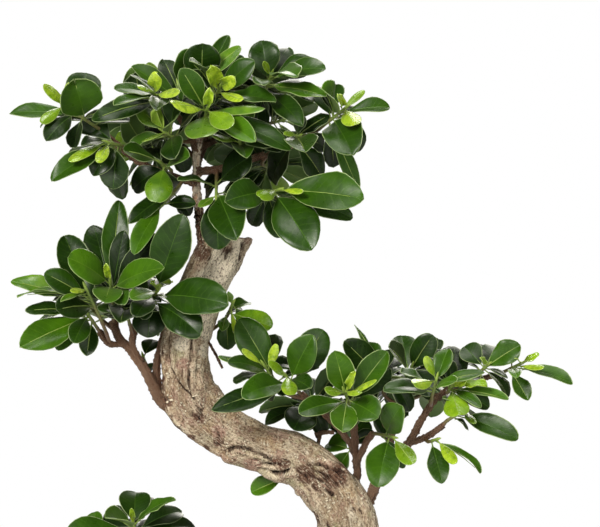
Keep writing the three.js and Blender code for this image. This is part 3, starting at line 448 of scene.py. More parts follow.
# Studio: a camera level with the upper tree, a pale floor and soft lights.
studio = {
    "aim": (300, 263.5, 8),  # the middle of the view
    "span": 0.6,
    "distance": 6.0,
    "floorRadius": 5.0,
    "backdrop": 1.0,
    "ambient": 0.035,
    "sheen": 0.1,  # how bright the room is in what shines
    "warmth": (1.0, 0.965, 0.9),
    # Each is far away and soft: where it comes from, its strength and how wide it looks, in degrees.
    "lights": [
        {"name": "keyLight", "from": (-1.4, -2.7, 1.35), "strength": 3.5, "wide": 20},
        {"name": "fillLight", "from": (1.1, -3.0, 0.4), "strength": 0.9, "wide": 30},
        {"name": "topLight", "from": (0.2, -0.3, 3.0), "strength": 1.7, "wide": 30},
        {"name": "rimLight", "from": (0.6, 2.6, 1.7), "strength": 2.0, "wide": 40},
    ],
}

def setUpStudio():
    scene = bpy.context.scene
    aim = place(studio["aim"])
    aim.y = 0
    lens = bpy.data.cameras.new("frontCamera")
    lens.sensor_width = 36
    lens.lens = lens.sensor_width * studio["distance"] / studio["span"]
    lens.clip_end = 50
    camera = newObject("frontCamera", lens)
    camera.location = aim + Vector((0, -studio["distance"], 0))
    camera.rotation_euler = (math.radians(90), 0, 0)
    scene.camera = camera
    for plan in studio["lights"]:
        light = bpy.data.lights.new(plan["name"], "SUN")
        light.energy = plan["strength"]
        light.angle = math.radians(plan["wide"])
        light.color = studio["warmth"]
        lamp = newObject(plan["name"], light)
        lamp.location = plan["from"]
        lamp.rotation_euler = (-lamp.location).to_track_quat("-Z", "Y").to_euler()
    world = bpy.data.worlds.new("paleRoom")
    world.use_nodes = True
    tree = world.node_tree
    tree.nodes.clear()
    path = put(tree, "LightPath").outputs
    dim = stretch(tree, path["Is Glossy Ray"], 0.0, 1.0, studio["ambient"], studio["sheen"])
    seen = {"Value": path["Is Camera Ray"], "To Min": dim, "To Max": studio["backdrop"]}
    strength = put(tree, "MapRange", seen).outputs["Result"]
    sky = put(tree, "Background", {"Color": (1, 1, 1, 1), "Strength": strength})
    put(tree, "OutputWorld", {"Surface": sky.outputs["Background"]})
    scene.world = world
    scene.view_settings.view_transform = "Standard"
    bm = bmesh.new()
    bmesh.ops.create_circle(bm, cap_ends=True, segments=96, radius=studio["floorRadius"])
    floor = newObject("floor", newMesh("floor", bm))
    floor.data.materials.append(floorPaint)

# The trunk: [across, down, back, radius] from the foot in the soil to the cut top.
trunk = {
    "route": [
        [286, 788, 6, 50], [280, 756, 5, 49], [262, 722, 8, 41], [248, 686, 12, 38], [256, 648, 12, 35],
        [284, 612, 8, 33], [318, 580, 2, 32], [342, 548, -4, 31], [345, 518, -6, 30], [327, 487, -4, 26],
        [295, 459, 0, 23], [254, 446, 2, 22], [220, 427, 2, 24], [193, 400, 0, 27], [186, 372, -2, 24],
        [187, 338, -2, 23.5], [199, 302, 0, 24], [214, 267, 0, 23.5], [231, 237, 0, 26],
    ],
    "lobes": [[0.09, 3, 5], [0.05, 5, -9]],  # depth as a share of the radius, count, how far they wind
    "steps": 30, "sides": 116,
    "ridge": 2.7, "lump": 1.6, "grain": 0.6, "fissure": 1.2, "wrinkle": 0.4,  # relief in mm
    "ledgeReach": 11, "ledgeEdge": 0.9,  # how far a ledge reaches and how soon it rises, in mm
    "wobble": 1.1,  # how far a crease strays, in mm
    # The lip of the cut: which side stands up, how many rings, and how far across and up, in mm.
    "lip": {"side": [0.85, -0.2], "rings": 22, "lift": [-2.5, 11]},
    # The cut top: share of the radius and height in mm of each ring, from its bark inwards.
    "cut": [[0.985, 1.6], [0.92, 2.6], [0.82, 1.2], [0.7, -2.0], [0.5, -4.0], [0.28, -3.4], [0.1, -3.0]],
}
# Creases seen on its front: width and depth in mm, how dark each is and its ledge, and then its places
# as [across, down]. A ledge is how much higher, in mm, the wood stands on the right of the crease's way
# (under 0: on its left).
# How dark each crease is sets the painted shade along it.
creases = [
    [[1.2, 2.2, 1.0, -2.2], [[171, 318], [170, 340], [171, 362], [176, 376], [184, 387], [190, 392],
     [197, 400], [203, 407]]],
    [[1.2, 2.2, 1.0, -2.4], [[193, 306], [192, 335], [191, 357], [190, 374], [190, 385], [194, 396]]],
    [[1.0, 0.9, 0.6, 0], [[184, 364], [184, 378], [187, 388]]],
    [[1.6, 1.4, 0.7, 0], [[204, 404], [202, 412], [195, 417]]],
    [[1.2, 1.2, 0.85, 0], [[193, 411], [192, 418]]],
    [[1.2, 1.2, 0.8, 0], [[200, 413], [199, 422]]],
    [[0.7, 0.8, 0.55, 0], [[223, 411], [224, 430], [223, 450]]],
    [[1.4, 1.0, 0.75, 0], [[218, 428], [219, 443]]],
    [[1.6, 1.0, 0.7, 0], [[161, 344], [160, 366], [162, 390], [170, 412]]],
    [[1.3, 2.4, 0.95, 4.0], [[218, 460], [226, 452], [236, 447], [246, 447], [257, 451], [267, 456],
     [276, 462], [288, 466]]],
    [[1.2, 2.0, 0.95, 0], [[257, 463], [266, 464], [277, 464], [286, 466]]],
    [[1.4, 2.8, 1.0, 2.0], [[258, 466], [268, 470], [277, 472], [287, 470], [293, 464]]],
    [[1.4, 1.8, 0.8, 0], [[270, 456], [276, 459], [284, 461]]],
    [[1.5, 2.4, 0.85, 0], [[291, 466], [300, 471], [309, 478]]],
    [[1.1, 1.4, 0.7, 0], [[298, 478], [306, 484], [312, 492]]],
    [[1.3, 2.6, 0.9, -2.4], [[308, 460], [318, 463], [328, 466], [338, 471], [346, 480]]],
    [[1.2, 2.4, 0.85, 0], [[311, 467], [322, 472], [333, 478], [341, 486]]],
    [[1.1, 1.6, 0.8, 0], [[304, 471], [314, 476], [325, 482]]],
    [[1.8, 2.4, 0.9, 0], [[325, 472], [331, 476], [337, 479]]],
    [[2.2, 3.2, 0.95, 0], [[325, 486], [330, 491], [335, 494]]],
    [[1.2, 1.2, 0.85, 0], [[351, 505], [358, 510]]],
    [[1.2, 1.0, 0.85, 0], [[358, 506], [364, 513]]],
    [[1.4, 1.4, 0.8, 0], [[325, 516], [329, 527], [334, 540]]],
    [[1.4, 1.8, 0.95, 0], [[209, 247], [209, 256], [206, 262]]],
    [[1.5, 1.6, 0.8, 0], [[229, 246], [227, 254], [224, 261]]],
    [[1.7, 2.8, 0.95, -2], [[246, 234], [244, 250], [241, 262], [236, 274]]],
    [[1.0, 1.4, 0.75, 0], [[250, 247], [246, 258], [242, 267]]],
    [[3.0, 2.2, 0.9, 0], [[310, 545], [313, 526], [310, 508]]],
    [[1.8, 2.2, 0.7, 0], [[262, 600], [284, 590], [306, 566], [318, 540]]],
    [[2.0, 2.4, 0.75, 0], [[236, 716], [238, 690], [250, 660], [272, 634]]],
    [[1.8, 2.2, 0.7, 0], [[282, 744], [276, 716], [268, 690], [270, 664]]],
]
# Strands of wood that stand out between them: half width and rise in mm, and then places as [across, down].
strands = [
    [[9, 2.8], [[222, 462], [240, 457], [257, 461], [272, 474], [290, 486]]],
    [[4, 1.6], [[263, 467], [274, 467], [286, 467]]],
    [[6, 2.4], [[164, 338], [164, 362], [172, 386], [188, 408]]],
    [[7, 2.0], [[181, 336], [181, 362], [184, 380]]],
    [[8, 2.4], [[201, 336], [200, 366], [204, 392]]],
    [[10, 2.2], [[232, 432], [258, 437], [286, 447], [306, 456]]],
    [[8, 1.8], [[318, 480], [334, 496], [342, 516]]],
    [[8, 1.6], [[300, 500], [308, 520], [312, 546]]],
    [[6, 1.5], [[341, 470], [352, 486], [356, 504]]],
    [[4, 2.4], [[296, 489], [301, 494]]],
    [[4, 3.0], [[251, 236], [249, 247]]],
    [[6, 1.2], [[236, 242], [232, 262], [226, 284]]],
    [[5, 2.6], [[157, 384], [163, 400], [172, 416], [182, 428]]],
    [[5, 0.9], [[196, 330], [196, 350], [197, 372]]],
]
# How the bark is tinted: [across, down] of the middle, the reach in mm, and how rusty, pink and bleached.
# The bleach on the cut top and on the upper trunk is partly the pale wood and partly painted light on wood
# in shade.
# The rust along the arm's lower edge, from [176, 428] to [290, 508], and on the dark cracks round [320,
# 475] is painted shade.
tints = [
    [201, 405, 7, 0.6, 0.3, 0], [199, 416, 8, 0.5, 0.5, 0], [219, 430, 8, 0.3, 0.9, 0],
    [219, 442, 6, 0.7, 0.4, 0], [185, 364, 8, 0.1, 0.7, 0], [200, 386, 10, 0.3, 0.3, 0],
    [160, 352, 7, 0.8, 0, 0], [162, 378, 5, 0.9, 0, 0], [167, 402, 6, 0.9, 0, 0],
    [174, 416, 5, 0.6, 0, 0], [188, 421, 7, 0, 0.4, 0], [278, 460, 7, 0.6, 0.6, 0],
    [333, 475, 14, 0.85, 0.2, 0], [306, 472, 12, 0.7, 0, 0], [320, 484, 10, 0.55, 0.3, 0],
    [284, 463, 8, 0.6, 0.3, 0], [190, 438, 6, 0.7, 0.3, 0], [205, 452, 7, 0.6, 0.4, 0],
    [222, 468, 7, 0.6, 0.3, 0], [246, 482, 7, 0.5, 0.5, 0], [270, 492, 7, 0.7, 0.3, 0],
    [290, 508, 7, 0.6, 0.2, 0], [176, 428, 6, 0.7, 0.2, 0], [252, 464, 10, 0, 0.7, 0],
    [314, 518, 7, 0.9, 0, 0], [202, 254, 10, 0.75, 0, 0], [227, 250, 6, 0.6, 0.3, 0],
    [250, 242, 6, 0, 0.8, 0], [243, 256, 6, 0.4, 0, 0], [229, 268, 20, 0, 0, 1],
    [222, 288, 18, 0, 0, 1], [212, 302, 16, 0, 0, 1], [240, 240, 10, 0, 0, 0.9],
    [206, 280, 12, 0.1, 0, 0.8], [218, 254, 7, 0, 0, 0.7], [238, 254, 6, 0, 0, 0.8],
    [203, 326, 14, 0, 0, 0.8], [196, 246, 8, 0.9, 0, 0], [183, 342, 9, 0, 0, 0.75],
    [204, 350, 9, 0, 0, 0.8], [184, 440, 7, 0.5, 0.4, 0], [310, 452, 14, 0, 0, 0.35],
    [345, 505, 14, 0, 0, 0.3],
]

def smoothFall(value, reach):
    share = min(max(1 - value / reach, 0), 1)
    return share * share * (3 - 2 * share)

# The nearest of some lines on the tree's front, its way there, and how much of it is left near its ends.
def lineFinder(lines):
    found = []
    for looks, along in lines:
        route = placedRoute([(across, down, 0) for across, down in along], 12)
        last = len(route) - 1
        for step, spot in enumerate(route):
            fade = min(1, 5 * step / len(route), 5 * (last - step) / len(route))
            way = route[min(step + 1, last)] - route[max(step - 1, 0)]
            found.append((spot.xz.to_3d(), looks, fade, way.xz.normalized()))
    return finderOf([row[0] for row in found]), found

def tintAt(spot, tintFinder):
    deepest = Vector()
    for _, index, apart in tintFinder.find_range(spot.xz.to_3d(), 1.5 * max(row[2] for row in tints) * mm):
        reach, *shares = tints[index][2:]
        near = min(1, 1.5 * smoothFall(apart, 1.5 * reach * mm))
        deepest = Vector([max(old, near * share) for old, share in zip(deepest, shares)])
    return deepest

# Relief of old bark in metres, and how deep in a fissure the place is, which the callers paint as shade.
def barkRelief(grain):
    def spot(around, along, start=0):
        return Vector((grain[0] * around, grain[1] * around, grain[2] * along + start))

    valley = abs(noise.noise(spot(80, 13, 3)))
    fissure = smoothFall(valley, 0.045) * min(max(noise.noise(spot(20, 14, 11)) * 4 - 1.0, 0), 1)
    relief = trunk["ridge"] * noise.noise(spot(26, 8)) + trunk["lump"] * noise.noise(spot(62, 40, 7))
    relief += trunk["grain"] * noise.fractal(spot(210, 150), 0.7, 2.1, 3)
    relief += trunk["wrinkle"] * noise.noise(spot(45, 280))
    return (relief - trunk["fissure"] * fissure) * mm, fissure


# Gives a limb its bark: how fine and strong the relief is, how dark the painted shade in its fissures, and
# each ring's tint.
def dressLimb(bm, layers, rings, route, fine, strength, dark, ringTints):
    for ring, centre, tint in zip(rings, route, ringTints):
        for vertex in ring:
            relief, fissure = barkRelief(vertex[layers["map"]] * fine)
            vertex.co += (vertex.co - centre).normalized() * relief * strength
            vertex[layers["creaseShade"]] = fissure * dark
            vertex[layers["tint"]] = tint
    closeEnds(bm, rings[0], rings[-1])


# How far a strand lifts the bark at a place on the tree's front, in metres.
def strandRise(spot, near, found):
    _, index, apart = near.find(spot.xz.to_3d())
    (width, rise), fade = found[index][1:3]
    return min(1, 2 * fade) * smoothFall(apart, width * mm) * rise * mm


# How far a crease, its swollen sides and its ledge move the bark there, in metres, and how dark its painted
# shade is.
def creaseRise(spot, near, found):
    strayed = spot + noise.noise_vector(spot * 130) * trunk["wobble"] * mm
    nearest, index, apart = near.find(strayed.xz.to_3d())
    (width, depth, dark, ledge), fade, way = found[index][1:]
    offset = strayed.xz - nearest.xy
    side = (way.y * offset.x - way.x * offset.y) / (trunk["ledgeEdge"] * mm)
    raised = min(max(0.5 + (side if ledge > 0 else -side), 0), 1)
    rise = abs(ledge) * raised * smoothFall(apart, trunk["ledgeReach"] * mm)
    width *= mm
    pull, swell = smoothFall(apart, 2.2 * width), smoothFall(abs(apart - 3.4 * width), 2.6 * width)
    rise += (0.45 * swell - 1.7 * pull) * depth
    broken = min(1, 0.85 + 0.9 * noise.noise(spot * 160))
    return fade * rise * mm, fade * smoothFall(apart, 1.9 * width) * dark * broken


# One side of the cut stands up as a lip.
def raiseLip(rings, route):
    lip = trunk["lip"]
    lipSide = Vector((*lip["side"], 0)).normalized()
    last = len(rings) - 1
    for step in range(last - lip["rings"], last + 1):
        for vertex in rings[step]:
            share = max((vertex.co - route[step]).normalized().dot(lipSide), 0) ** 2
            share *= smoothFall(last - step, lip["rings"])
            vertex.co += Vector((lip["lift"][0], 0, lip["lift"][1])) * share * mm


# Grows the cut's wood inwards from the bark, and gives its last ring.
def growCut(bm, layers, ring, route):
    ahead = (route[-1] - route[-2]).normalized()
    rim = [vertex.co.copy() for vertex in ring]
    for share, height in trunk["cut"]:
        ring = nextRing(bm, ring)
        for vertex, edge in zip(ring, rim):
            spread = route[-1] + (edge - route[-1]) * share
            rough = noise.noise(spread * 190) * 1.3 + noise.noise(spread * 60) * 1.6
            vertex.co = spread + ahead * (height + rough * min(1, 6 * (1 - share))) * mm
            # Inside its rim the cut sinks; there it is tinted rusty and darkened with painted shade.
            vertex[layers["tint"]] = (0.3, 0.6, 0) if share > 0.8 else (0.5, 0, 0)
            vertex[layers["creaseShade"]] = 0.0 if share > 0.8 else 0.35
    return ring

def barkLayers(bm):
    layers = bm.verts.layers
    return {"map": layers.float_vector.new("barkMap"), "creaseShade": layers.float.new("barkCreaseShade"),
            "youth": layers.float.new("barkYouth"), "tint": layers.float_vector.new("barkTint")}

def mapBark(rings, route, sizes, layers, offset=0.0, youthAt=lambda step: 0.0):
    along = offset
    for step, ring in enumerate(rings):
        if step:
            along += (route[step] - route[step - 1]).length
        for side, vertex in enumerate(ring):
            angle = 2 * math.pi * side / len(ring)
            size = sizes[step] + offset
            vertex[layers["map"]] = (size * math.cos(angle), size * math.sin(angle), along)
            vertex[layers["youth"]] = youthAt(step)

def buildTrunk():
    bm = bmesh.new()
    layers = barkLayers(bm)
    steps = trunk["steps"]
    route = placedRoute([row[:3] for row in trunk["route"]], steps)
    last = len(route) - 1
    sizes = [row[3] * mm for row in trunk["route"]]
    radii = [between(start, end, step / steps) for start, end in zip(sizes, sizes[1:])
             for step in range(steps)] + [sizes[-1]]

    def radiusAt(step, angle):
        share = step / last
        return radii[step] * (1 + sum(depth * math.cos(count * angle + wind * share)
                                      for depth, count, wind in trunk["lobes"]))

    rings = growRings(bm, route, trunk["sides"], radiusAt, front=Vector((0, -1, 0)))
    mapBark(rings, route, radii, layers)
    raiseLip(rings, route)
    creaseLines, strandLines = lineFinder(creases), lineFinder(strands)
    tintFinder = finderOf([place((*row[:2], 0)).xz.to_3d() for row in tints])
    for step, ring in enumerate(rings):
        for vertex in ring:
            out = (vertex.co - route[step]).normalized()
            relief, fissure = barkRelief(vertex[layers["map"]])
            # Painted shade: fissures, and on the front the creases, darken the bark.
            dark = fissure * 0.6
            facing = min(max(0.4 - 2.5 * out.y, 0), 1)
            if facing:
                rise, shadow = creaseRise(vertex.co, *creaseLines)
                relief += facing * (strandRise(vertex.co, *strandLines) + rise)
                dark = max(dark, facing * shadow)
                vertex[layers["tint"]] = tintAt(vertex.co, tintFinder) * facing
            vertex[layers["creaseShade"]] = dark
            vertex.co += out * relief
    closeEnds(bm, growCut(bm, layers, rings[-1], route), rings[0])
    finishPiece(bm, "trunkBark", [bark], "trunk")

# Surface roots leave the foot, fall over the mound and run under the soil.
roots = {
    "spread": [[200, 98, 17], [262, 74, 14], [325, 96, 16], [18, 100, 15], [82, 80, 13], [140, 88, 15]],
    "inside": [258, 690],  # where they start inside the trunk, across and down
    "fall": [[0.16, 716], [0.46, 744], [0.78, 762], [1.02, 784]],  # share of the reach, down
    # dark: how dark the painted shade in the roots' fissures is.
    "taper": 0.4, "steps": 14, "sides": 36, "bark": 0.8, "dark": 0.7, "tint": (0.12, 0, 0),
}

def buildRoots():
    bm = bmesh.new()
    layers = barkLayers(bm)
    footAcross, _, footBack = trunk["route"][1][:3]
    for index, (compass, reach, radius) in enumerate(roots["spread"]):
        compass = math.radians(compass)
        away = reach * math.cos(compass), reach * math.sin(compass)
        stops = [(*roots["inside"], footBack)]
        stops += [(footAcross + share * away[0], down, footBack + share * away[1])
                  for share, down in roots["fall"]]
        route = placedRoute(stops, roots["steps"])
        last = len(route) - 1
        sizes = [radius * mm * between(1, roots["taper"], step / last) for step in range(last + 1)]
        rings = growRings(bm, route, roots["sides"], lambda step, angle: sizes[step])
        mapBark(rings, route, sizes, layers, offset=0.05 * (index + 1))
        dressLimb(bm, layers, rings, route, 1, roots["bark"], roots["dark"], [roots["tint"]] * len(rings))
    finishPiece(bm, "surfaceRoots", [bark], "trunk")

# Branches: places along each one, its first and its last radius in mm.
branches = {
    "crown": [[[205, 266, -6], [203, 243, -11], [200, 214, -14], [197, 188, -12], [197, 160, -10],
        [200, 134, -8], [202, 112, -4]], 6.5, 3.6],
    "crownLeft": [[[197, 184, -12], [172, 176, -16], [146, 166, -20], [124, 150, -24], [106, 134, -28]],
        4.2, 3.2],
    "crownUpLeft": [[[198, 152, -9], [186, 128, -14], [176, 112, -20]], 3.8, 3.2],
    "crownRight": [[[197, 172, -11], [228, 168, -14], [262, 156, -18], [292, 146, -24], [316, 132, -34]],
        4.6, 3.2],
    "crownLowRight": [[[229, 168, -14], [246, 184, -26], [258, 196, -38]], 3.4, 3.2],
    "crownTopRight": [[[240, 163, -15], [254, 128, -8], [260, 104, -8]], 3.6, 3.2],
    "crownBackLeft": [[[197, 160, -8], [176, 142, 30], [150, 124, 62]], 4, 3.2],
    "crownBackRight": [[[197, 150, -8], [222, 136, 34], [262, 124, 70]], 4, 3.2],
    "crownBack": [[[197, 164, -8], [202, 150, 44], [206, 132, 88]], 4, 3.2],
    "left": [[[190, 420, -2], [163, 402, -10], [147, 372, -14], [134, 352, -14], [120, 338, -12],
        [113, 320, -10]], 7, 3.4],
    "leftRight": [[[141, 362, -14], [133, 344, -16], [136, 326, -20], [144, 312, -28]], 3.8, 3.2],
    "leftBack": [[[134, 352, -14], [118, 334, 10], [112, 308, 34]], 3.6, 3.2],
    "leftTwig": [[[125, 343, -13], [110, 343, -22], [101, 331, -32]], 3.4, 3.2],
    "right": [[[352, 530, 0], [366, 506, -6], [376, 484, -10], [390, 464, -16], [408, 442, -26],
        [422, 416, -40], [436, 394, -52]], 7, 3.2],
    "rightInner": [[[349, 496, 6], [357, 474, 2], [355, 448, -6], [354, 428, -26], [353, 414, -50]],
        4.6, 3.2],
    "rightWest": [[[355, 450, -4], [338, 428, -6], [318, 408, -20], [301, 393, -34]], 3.8, 3.2],
    "rightHang": [[[356, 466, 0], [364, 446, -24], [372, 432, -44]], 3.2, 3.2],
    "rightEast": [[[436, 396, -51], [452, 386, -42], [476, 379, -30], [498, 374, -26]], 3.4, 3.2],
    "rightLow": [[[408, 442, -26], [424, 436, -36], [442, 424, -46]], 3.2, 3.2],
    "rightBack": [[[366, 506, -4], [384, 462, 26], [396, 420, 40], [404, 392, 44]], 4.4, 3.2],
    "low": [[[238, 690, 8], [206, 672, -2], [180, 640, -10], [160, 604, -14], [146, 570, -16],
        [138, 544, -18]], 7, 3.2],
    "lowRight": [[[172, 624, -12], [176, 590, -4], [178, 566, 4]], 3.6, 3.2],
    "lowLeft": [[[158, 600, -14], [132, 578, -14], [110, 562, -16]], 3.6, 3.2],
}
aerialRoot = [[[204, 336, -10], [209, 342, -12], [216, 354, -13], [223, 368, -13]], 1, 0.7]
cutTwigs = [[[[318, 458, 8], [318, 446, 4], [320, 434, 0]], 1.7, 1.5],
            [[[315, 435, 1], [324, 432, 0], [334, 432, -2]], 2, 1.8]]
# A strand of old wood runs down the trunk's left edge into the left branch.
edgeStrand = [[[166, 326, 2], [161, 346, 0], [157, 364, -2], [157, 382, -4], [163, 402, -4]], 3.4, 5]
branchLook = {
    "steps": 18, "sides": 20, "knuckle": 7.0, "knuckleRise": 0.2, "collar": 0.45, "slimness": 0.86,
    "rough": 0.22,
    "bark": 0.55,  # how much of the old bark's relief a limb has
    "youngest": 0.88, "oldest": 0.85, "thick": 6,  # a limb over this radius, in mm, starts as the oldest
    # How rusty, pink and bleached a limb's bark is at its foot, its middle and its end.
    "tint": [[0.4, 0, 0], [0, 0, 0], [0, 0, 0]],
    # On the crown's stem the heavy rust at its foot is painted shade under the leaves, and the bleach along
    # it is partly pale bark and partly painted light.
    "crownTint": [[1.8, 0, 0], [0, 0.1, 0.5], [0, 0, 0.5]],
}

def growBranch(bm, layers, limb, index, youthStart, tint):
    stops, startRadius, endRadius = limb
    route = placedRoute(stops, branchLook["steps"])
    last = len(route) - 1
    length = sum((after - before).length for before, after in zip(route, route[1:]))
    sizes = []
    for step in range(last + 1):
        share = step / last
        knuckle = math.cos(share * length / mm / branchLook["knuckle"] * 2 * math.pi + index)
        rise = 1 + branchLook["knuckleRise"] * max(knuckle, 0) ** 6
        collar = 1 + branchLook["collar"] * smoothFall(share * length, 1.6 * startRadius * mm)
        sizes.append(between(startRadius, endRadius, share) * branchLook["slimness"] * mm * rise * collar)

    def radiusAt(step, angle):
        where = Vector((math.cos(angle) * 1.6, math.sin(angle) * 1.6, step * 0.7 + index * 9))
        return sizes[step] * (1 + branchLook["rough"] * noise.noise(where))

    rings = growRings(bm, route, branchLook["sides"], radiusAt)
    young = [min(1, youthStart + (1 - youthStart) * 1.5 * step / last) for step in range(last + 1)]
    mapBark(rings, route, sizes, layers, offset=0.03 * index, youthAt=lambda step: young[step])
    foot, middle, end = (Vector(shares) for shares in tint)
    shares = [2 * step / last for step in range(last + 1)]
    ringTints = [foot.lerp(middle, share) if share < 1 else middle.lerp(end, share - 1) for share in shares]
    dressLimb(bm, layers, rings, route, 2, branchLook["bark"], 1, ringTints)

def buildBranches():
    bm = bmesh.new()
    layers = barkLayers(bm)
    for index, (name, limb) in enumerate(branches.items()):
        youth = branchLook["oldest"] if limb[1] > branchLook["thick"] else branchLook["youngest"]
        tint = branchLook["crownTint"] if name == "crown" else branchLook["tint"]
        growBranch(bm, layers, limb, index, youth, tint)
    for index, limb in enumerate([aerialRoot, edgeStrand, *cutTwigs], start=len(branches)):
        growBranch(bm, layers, limb, index, 1.0, branchLook["tint"])
    finishPiece(bm, "branches", [bark], "trunk")

